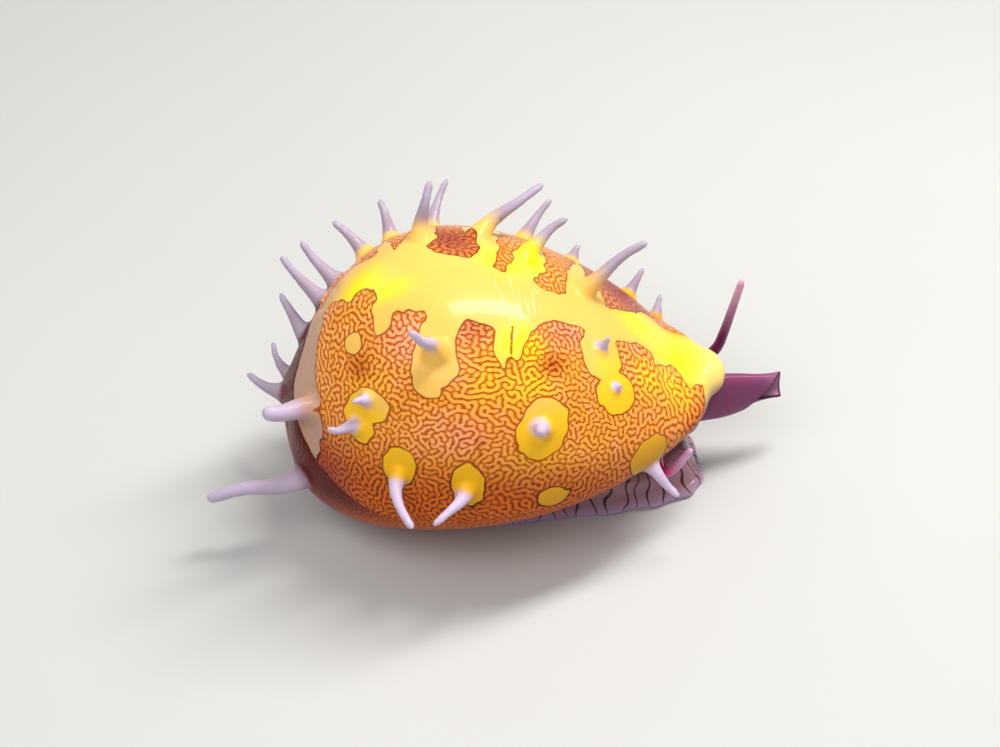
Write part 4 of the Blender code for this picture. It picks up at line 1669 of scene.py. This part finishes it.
    def tentacle(self, name: str, route: tuple[Triple, ...]) -> Piece:
        """Draws one tentacle, a little knobbed at the tip.

        Args:
            name: Name of the piece.
            route: Points that its middle line passes through.

        Returns:
            The tentacle, a closed mesh.
        """
        line = along_route(route, 4)
        shares = np.linspace(0, 1, len(line)) ** self.tentacle_taper
        radii = list(self.tentacle_root + (self.tentacle_tip - self.tentacle_root) * shares)
        ending = (line[-1] - line[-2]).normalized()
        line += [line[-1] + ending * 0.07, line[-1] + ending * 0.11]
        radii += [self.tentacle_tip * 0.8, self.tentacle_tip * 0.4]
        return draw_finger(name, line, radii, self.tentacle_sides)

    def furrow(self, mesh: Mesh) -> None:
        """Presses in the mouth line, the groove along the front of the foot and soft creases on the neck.

        Args:
            mesh: The body's mesh.
        """
        places = read_points(mesh)
        normals = read_normals(mesh)
        x, y, z = places.T
        depth, width, thickness = self.mouth
        mouth_line = self.snout.z - self.mouth_drop + 0.04 * np.cos(y * 9)
        mouth = depth * bell(y, 0, width) ** 2 * bell(z, mouth_line, thickness) * rise(x, *self.mouth_ahead)
        depth, level, width = self.groove
        edge = rise(x, *self.groove_ahead) * (z < 0.9)
        groove = depth * bell(z, level + 0.03 * np.sin(y * 4), width) * edge
        depth, middle, width = self.neck_creases
        neck = bell(x, middle, width) * rise(z, *self.neck_height) * (np.abs(y) < 1)
        crease = depth * neck * (np.sin(x * 26 + 2 * np.sin(y * 4)) + 1)
        write_points(mesh, places - normals * (mouth + groove + crease)[:, None])

    @staticmethod
    def along_horn(places: Array, line: list[Vector], reach: float) -> Array:
        """How far out on a tentacle each place lies.

        Args:
            places: Points on the skin.
            line: The tentacle's middle line.
            reach: Greatest distance from that line, in millimetres.

        Returns:
            Share of the line for each place, or 0 beyond the reach.
        """
        stops = np.array(line)
        gaps = np.linalg.norm(places[:, None, :] - stops[None, :, :], axis=2)
        nearest = gaps.argmin(axis=1)
        return np.where(gaps.min(axis=1) < reach, nearest / (len(line) - 1), 0.0)

    def paint(self, mesh: Mesh) -> None:
        """Stores where the colours lie."""
        places = read_points(mesh)
        x, _, z = places.T
        low = rise(z, *self.margin_height)
        under = rise(z, *self.sole_height)
        headward = rise(z, *self.head_height) * rise(x, *self.head_ahead)
        store(mesh, "region", np.stack([low, headward, under], axis=1))
        horns, puffs = [], []
        for route, side in ((self.left_route, 1), (self.right_route, -1)):
            share = self.along_horn(places, along_route(route, 12), self.horn_reach)
            away = np.linalg.norm(places - np.array(self.swelling * Vector((1, side, 1))), axis=1)
            horns.append(np.where(away < self.horn_start, 0.0, share))
            puffs.append(rise(away, *self.plum_reach))
        store(mesh, "horns", np.stack([*horns, 0.6 * np.maximum(*puffs)], axis=1))
        draw = np.random.default_rng(self.stripe_seed)
        total, thinning = self.outline_points, self.outline_thinning
        edge = self.outline(np.linspace(-math.pi, math.pi, total), np.ones(total))
        run = np.concatenate([[0], np.cumsum(np.linalg.norm(np.diff(edge, axis=0), axis=1))])
        away = np.linalg.norm(places[:, None, :2] - edge[None, ::thinning, :], axis=2)
        nearest = thinning * away.argmin(axis=1).clip(1, total // thinning - 1)
        heading = edge[nearest + 1] - edge[nearest - 1]
        heading /= np.linalg.norm(heading, axis=1)[:, None]
        around = run[nearest] + ((places[:, :2] - edge[nearest]) * heading).sum(axis=1)
        bent = around + 0.07 * np.sin(z * 8 + around * 5) + 0.25 * z * np.sin(around * 1.9)
        stops = np.cumsum(draw.uniform(*self.stripe_gaps, size=70)) - 0.5
        lines = np.interp(bent, stops, np.arange(len(stops)))
        shown = rise(away.min(axis=1), *self.stripe_reach) * rise(z, *self.stripe_foot)
        from_tail = np.minimum(around, run[-1] - around)
        shown = shown * rise(z, *self.stripe_top) * rise(from_tail, *self.stripe_tail)
        store(mesh, "stripe", np.stack([lines, shown, z], axis=1))


@dataclass(frozen=True)
class SiphonFinish:
    """A thin purple sheet, painted paler inside as light through the sheet, with a dark free edge."""

    wet: WetFlesh = WetFlesh(roughness=0.5, wetness=0.25, depth=0.2, glow=0.5)
    outside: Colour = (0.21, 0.055, 0.14)
    root: Colour = (0.24, 0.045, 0.12)
    # Colour of the inner side, lightened as painted light passing through the sheet.
    inside: Colour = (0.42, 0.24, 0.37)
    edge: Colour = (0.07, 0.008, 0.05)
    tip: Colour = (0.27, 0.13, 0.22)

    def material(self) -> bpy.types.Material:
        """Builds the siphon's material."""
        material, nodes = blank_material("siphon_flesh")
        grain = nodes.add("Group", node_tree=flesh_grain()).outputs
        along, rim, inner_painted_light = nodes.three("sheet")
        stops = ((0.0, self.root), (0.25, self.outside), (0.8, self.outside), (1.0, self.tip))
        skin = nodes.ramp(along, stops)
        skin = nodes.mix(nodes.times(grain["Mottle"], 0.35), skin, self.root)
        # Painted light: the inner side is paler, standing in for light passing through the thin sheet.
        skin = nodes.mix(inner_painted_light, skin, self.inside)
        skin = nodes.mix(nodes.step(rim, 0.09, 0.03), skin, self.edge)
        self.wet.shader(nodes, skin, grain["Height"], 0.01)
        return material


@dataclass
class Siphon:
    """The siphon: a sheet rolled into a flat pipe, its near wall cut back slantwise below."""

    finish: SiphonFinish = field(default_factory=SiphonFinish)
    root: Vector = Vector((4.75, 0.2, 2.08))
    tip: Vector = Vector((8.02, 0.2, 2.37))
    root_height: float = 0.8
    tip_height: float = 0.46
    root_thickness: float = 0.4
    tip_thickness: float = 0.25
    wall: float = 0.07
    steps_along: int = 44
    steps_around: int = 60
    near_cut: float = 0.36
    near_part: float = 0.42
    edge_corner: Pair = (0.84, 1.0)
    tuck: float = 0.26
    tuck_part: Pair = (0.72, 0.96)
    waviness: float = 0.03
    rolled_from: float = 0.07
    rolled_turns: float = 1.08
    girth: float = 3.2

    def build(self) -> Piece:
        """Models, paints and dresses the siphon.

        Returns:
            The finished siphon.
        """
        bpy.ops.mesh.primitive_grid_add(
            x_subdivisions=self.steps_along, y_subdivisions=self.steps_around, size=2
        )
        sheet = added("siphon_sheet")
        flat = read_points(sheet.data)
        along, around = (flat[:, 0] + 1) / 2, (flat[:, 1] + 1) / 2
        write_points(sheet.data, self.points(along, around))
        store(sheet.data, "laid", np.stack([along, around, self.reach(around)], axis=1))
        edit_all(sheet)
        close_edit()
        apply_modifier(sheet, "SOLIDIFY", thickness=self.wall, offset=0.0)
        apply_modifier(sheet, "SUBSURF", levels=1, render_levels=1)
        self.paint(sheet.data)
        return dress(sheet, self.finish.material())

    def reach(self, around: Array) -> Array:
        """How far out the sheet reaches.

        Args:
            around: Share of the way round from the near edge over the top, for each place.

        Returns:
            Share of the siphon's length for each.
        """
        near = self.near_cut * (1 - around / self.near_part).clip(0, 1) ** 1.2
        corners = 0.07 * rise(around, *self.edge_corner) ** 2 + 0.03 * bell(around, 0.4, 0.09)
        return 1 - near - corners

    def points(self, along: Array, around: Array) -> Array:
        """Places on the middle of the sheet.

        Args:
            along: Share of the way out, for each.
            around: Share of the way round from the near edge over the top, for each.

        Returns:
            One row of x, y, z for each, in millimetres.
        """
        share = along * self.reach(around)
        height = self.root_height + (self.tip_height - self.root_height) * share**1.5
        thick = self.root_thickness + (self.tip_thickness - self.root_thickness) * share
        turn = 2 * math.pi * (self.rolled_from + self.rolled_turns * around)
        inward = 1 - self.tuck * rise(around, *self.tuck_part)
        wave = self.waviness * np.sin(share * 9 + turn) * rise(share, 0, 0.5)
        centre = np.array(self.root)[None, :] + share[:, None] * np.array(self.tip - self.root)[None, :]
        y = -np.sin(turn) * thick * inward + wave
        z = -np.cos(turn) * height * inward + wave
        return centre + np.stack([np.zeros(len(y)), y, z], axis=1)

    def paint(self, mesh: Mesh) -> None:
        """Stores how far along each place lies, how far from the free edge, and whether it is inside."""
        laid = np.empty(len(mesh.vertices) * 3, np.float32)
        mesh.attributes["laid"].data.foreach_get("vector", laid)
        along, around, reach = laid.reshape(-1, 3).T.astype(float)
        length = (self.tip - self.root).length
        rim = np.minimum((1 - along) * reach * length, np.minimum(around, 1 - around) * self.girth)
        middle = self.points(along, around)
        centre = np.array(self.root) + (along * reach)[:, None] * np.array(self.tip - self.root)
        places = read_points(mesh)
        inner_painted_light = np.linalg.norm(places - centre, axis=1) < np.linalg.norm(middle - centre, axis=1)
        store(mesh, "sheet", np.stack([along * reach, rim, inner_painted_light.astype(float)], axis=1))


@dataclass(frozen=True)
class EyeFinish:
    """A glossy black bead."""

    pupil: Colour = (0.004, 0.003, 0.005)
    ring: Colour = (0.35, 0.2, 0.22)

    def material(self) -> bpy.types.Material:
        """Builds the eye's material."""
        material, nodes = blank_material("eye_gloss")
        ring = nodes.value("ring")
        colour = nodes.mix(nodes.step(ring, 0.2, 0.6), self.pupil, self.ring)
        nodes.surface({"Base Color": colour, "Roughness": 0.08, "Coat Weight": 1.0, "Coat Roughness": 0.03})
        return material


@dataclass
class Eye:
    """One eye: a small bead on the outer side of a tentacle's base."""

    side: int
    finish: EyeFinish = field(default_factory=EyeFinish)
    radius: float = 0.17
    sides: int = 48
    rings: int = 32
    swelling: Vector = BodySkin.swelling
    swelling_radii: Vector = Vector(BodySkin.swelling_radii)
    direction: Vector = Vector((0.55, 0.85, 0.25))
    flattening: float = 0.12
    ring_height: Pair = (0.55, 0.2)

    def build(self) -> Piece:
        """Models and dresses the eye, turned to look outward.

        Returns:
            The finished eye.
        """
        aim = self.direction.normalized()
        mirror = Vector((1, self.side, 1))
        place = (self.swelling + aim * self.swelling_radii) * mirror
        aim = aim * mirror
        name = "eye_bead_left" if self.side > 0 else "eye_bead_right"
        turned = aim.to_track_quat("Z", "Y").to_euler()
        bpy.ops.mesh.primitive_uv_sphere_add(
            segments=self.sides, ring_count=self.rings, radius=self.radius, location=place, rotation=turned
        )
        eye = added(name)
        bpy.ops.object.transform_apply(location=True, rotation=True, scale=True)
        places = read_points(eye.data)
        height = (places - np.array(place)) @ np.array(aim) / self.radius
        flatter = np.where(height > 0, self.flattening * self.radius * height**2, 0)
        write_points(eye.data, places - flatter[:, None] * np.array(aim))
        store(eye.data, "ring", rise(height, *self.ring_height))
        return dress(eye, self.finish.material())


@dataclass(frozen=True)
class Softbox:
    """A soft light that faces the animal, with its place and size in millimetres and its power in watts."""

    name: str
    place: Triple
    size: Pair
    power: float
    colour: Colour
    aim: Triple = (0.0, 0.0, 3.0)

    def build(self) -> None:
        """Hangs the light."""
        light = bpy.data.lights.new(self.name, "AREA")
        light.shape = "RECTANGLE"
        light.size, light.size_y = (side * MM for side in self.size)
        light.energy = self.power
        light.color = self.colour
        lamp = bpy.data.objects.new(self.name, light)
        bpy.context.scene.collection.objects.link(lamp)
        lamp.location = Vector(self.place) * MM
        lamp.rotation_euler = (Vector(self.aim) - Vector(self.place)).to_track_quat("-Z", "Y").to_euler()


@dataclass
class Studio:
    """Pale floor, soft light and the camera at the photograph's angle."""

    azimuth: float = -9.0
    elevation: float = 42.0
    distance: float = 70.0
    lens: float = 90.0
    target: Triple = (-0.25, 0.08, 4.1)
    air: Colour = (0.9, 0.91, 0.93)
    air_strength: float = 0.35
    lights: tuple[Softbox, ...] = (
        Softbox("key", (30, 12, 68), (13, 56), 0.062, (1.0, 0.98, 0.94)),
        Softbox("fill", (-28, -42, 72), (80, 50), 0.046, (1.0, 0.99, 0.97)),
        Softbox("rim", (-60, 80, 60), (60, 60), 0.012, (0.96, 0.98, 1.0)),
    )

    def build(self) -> None:
        """Sets up the whole studio."""
        self.floor()
        self.camera()
        for light in self.lights:
            light.build()
        world = bpy.data.worlds.new("studio_air")
        world.use_nodes = True
        air = world.node_tree.nodes["Background"].inputs
        air["Color"].default_value = (*self.air, 1)
        air["Strength"].default_value = self.air_strength
        bpy.context.scene.world = world
        bpy.context.scene.view_settings.view_transform = "Standard"

    def floor(self) -> None:
        """A wide pale floor."""
        bpy.ops.mesh.primitive_plane_add(size=3.0)
        floor = added("floor")
        material, nodes = blank_material("floor_pale")
        shade = nodes.mix(nodes.noise(60.0), (0.5, 0.5, 0.49), (0.54, 0.54, 0.53))
        nodes.surface({"Base Color": shade, "Roughness": 0.7})
        floor.data.materials.append(material)

    def camera(self) -> None:
        """The camera."""
        turn, lift = math.radians(self.azimuth), math.radians(self.elevation)
        back = Vector((math.sin(turn) * math.cos(lift), -math.cos(turn) * math.cos(lift), math.sin(lift)))
        data = bpy.data.cameras.new("camera")
        data.lens = self.lens
        data.clip_start = 0.001
        data.clip_end = 20.0
        camera = bpy.data.objects.new("camera", data)
        bpy.context.scene.collection.objects.link(camera)
        camera.location = (Vector(self.target) + back * self.distance) * MM
        camera.rotation_euler = (-back).to_track_quat("-Z", "Y").to_euler()
        bpy.context.scene.camera = camera


def report(piece: Piece) -> None:
    """Logs a finished piece with its number of faces."""
    LOG.info("%s: %d faces", piece.name, len(piece.data.polygons))


def main() -> None:
    """Builds the animal piece by piece, then the studio."""
    logging.basicConfig(level=logging.INFO, format="%(message)s")
    mantle = MantleSkin().build()
    report(mantle)
    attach(mantle, BODY)
    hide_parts("mantle_left", "mantle_right")
    body = BodySkin().build()
    report(body)
    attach(body, BODY)
    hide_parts("foot", "foot_front", "head", "tentacle_left", "tentacle_right")
    siphon = Siphon().build()
    report(siphon)
    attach(siphon, BODY)
    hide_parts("siphon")
    for side, node in ((1, "eye_left"), (-1, "eye_right")):
        eye = Eye(side).build()
        report(eye)
        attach(eye, BODY)
        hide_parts(node)
    Studio().build()


if __name__ == "__main__":
    main()
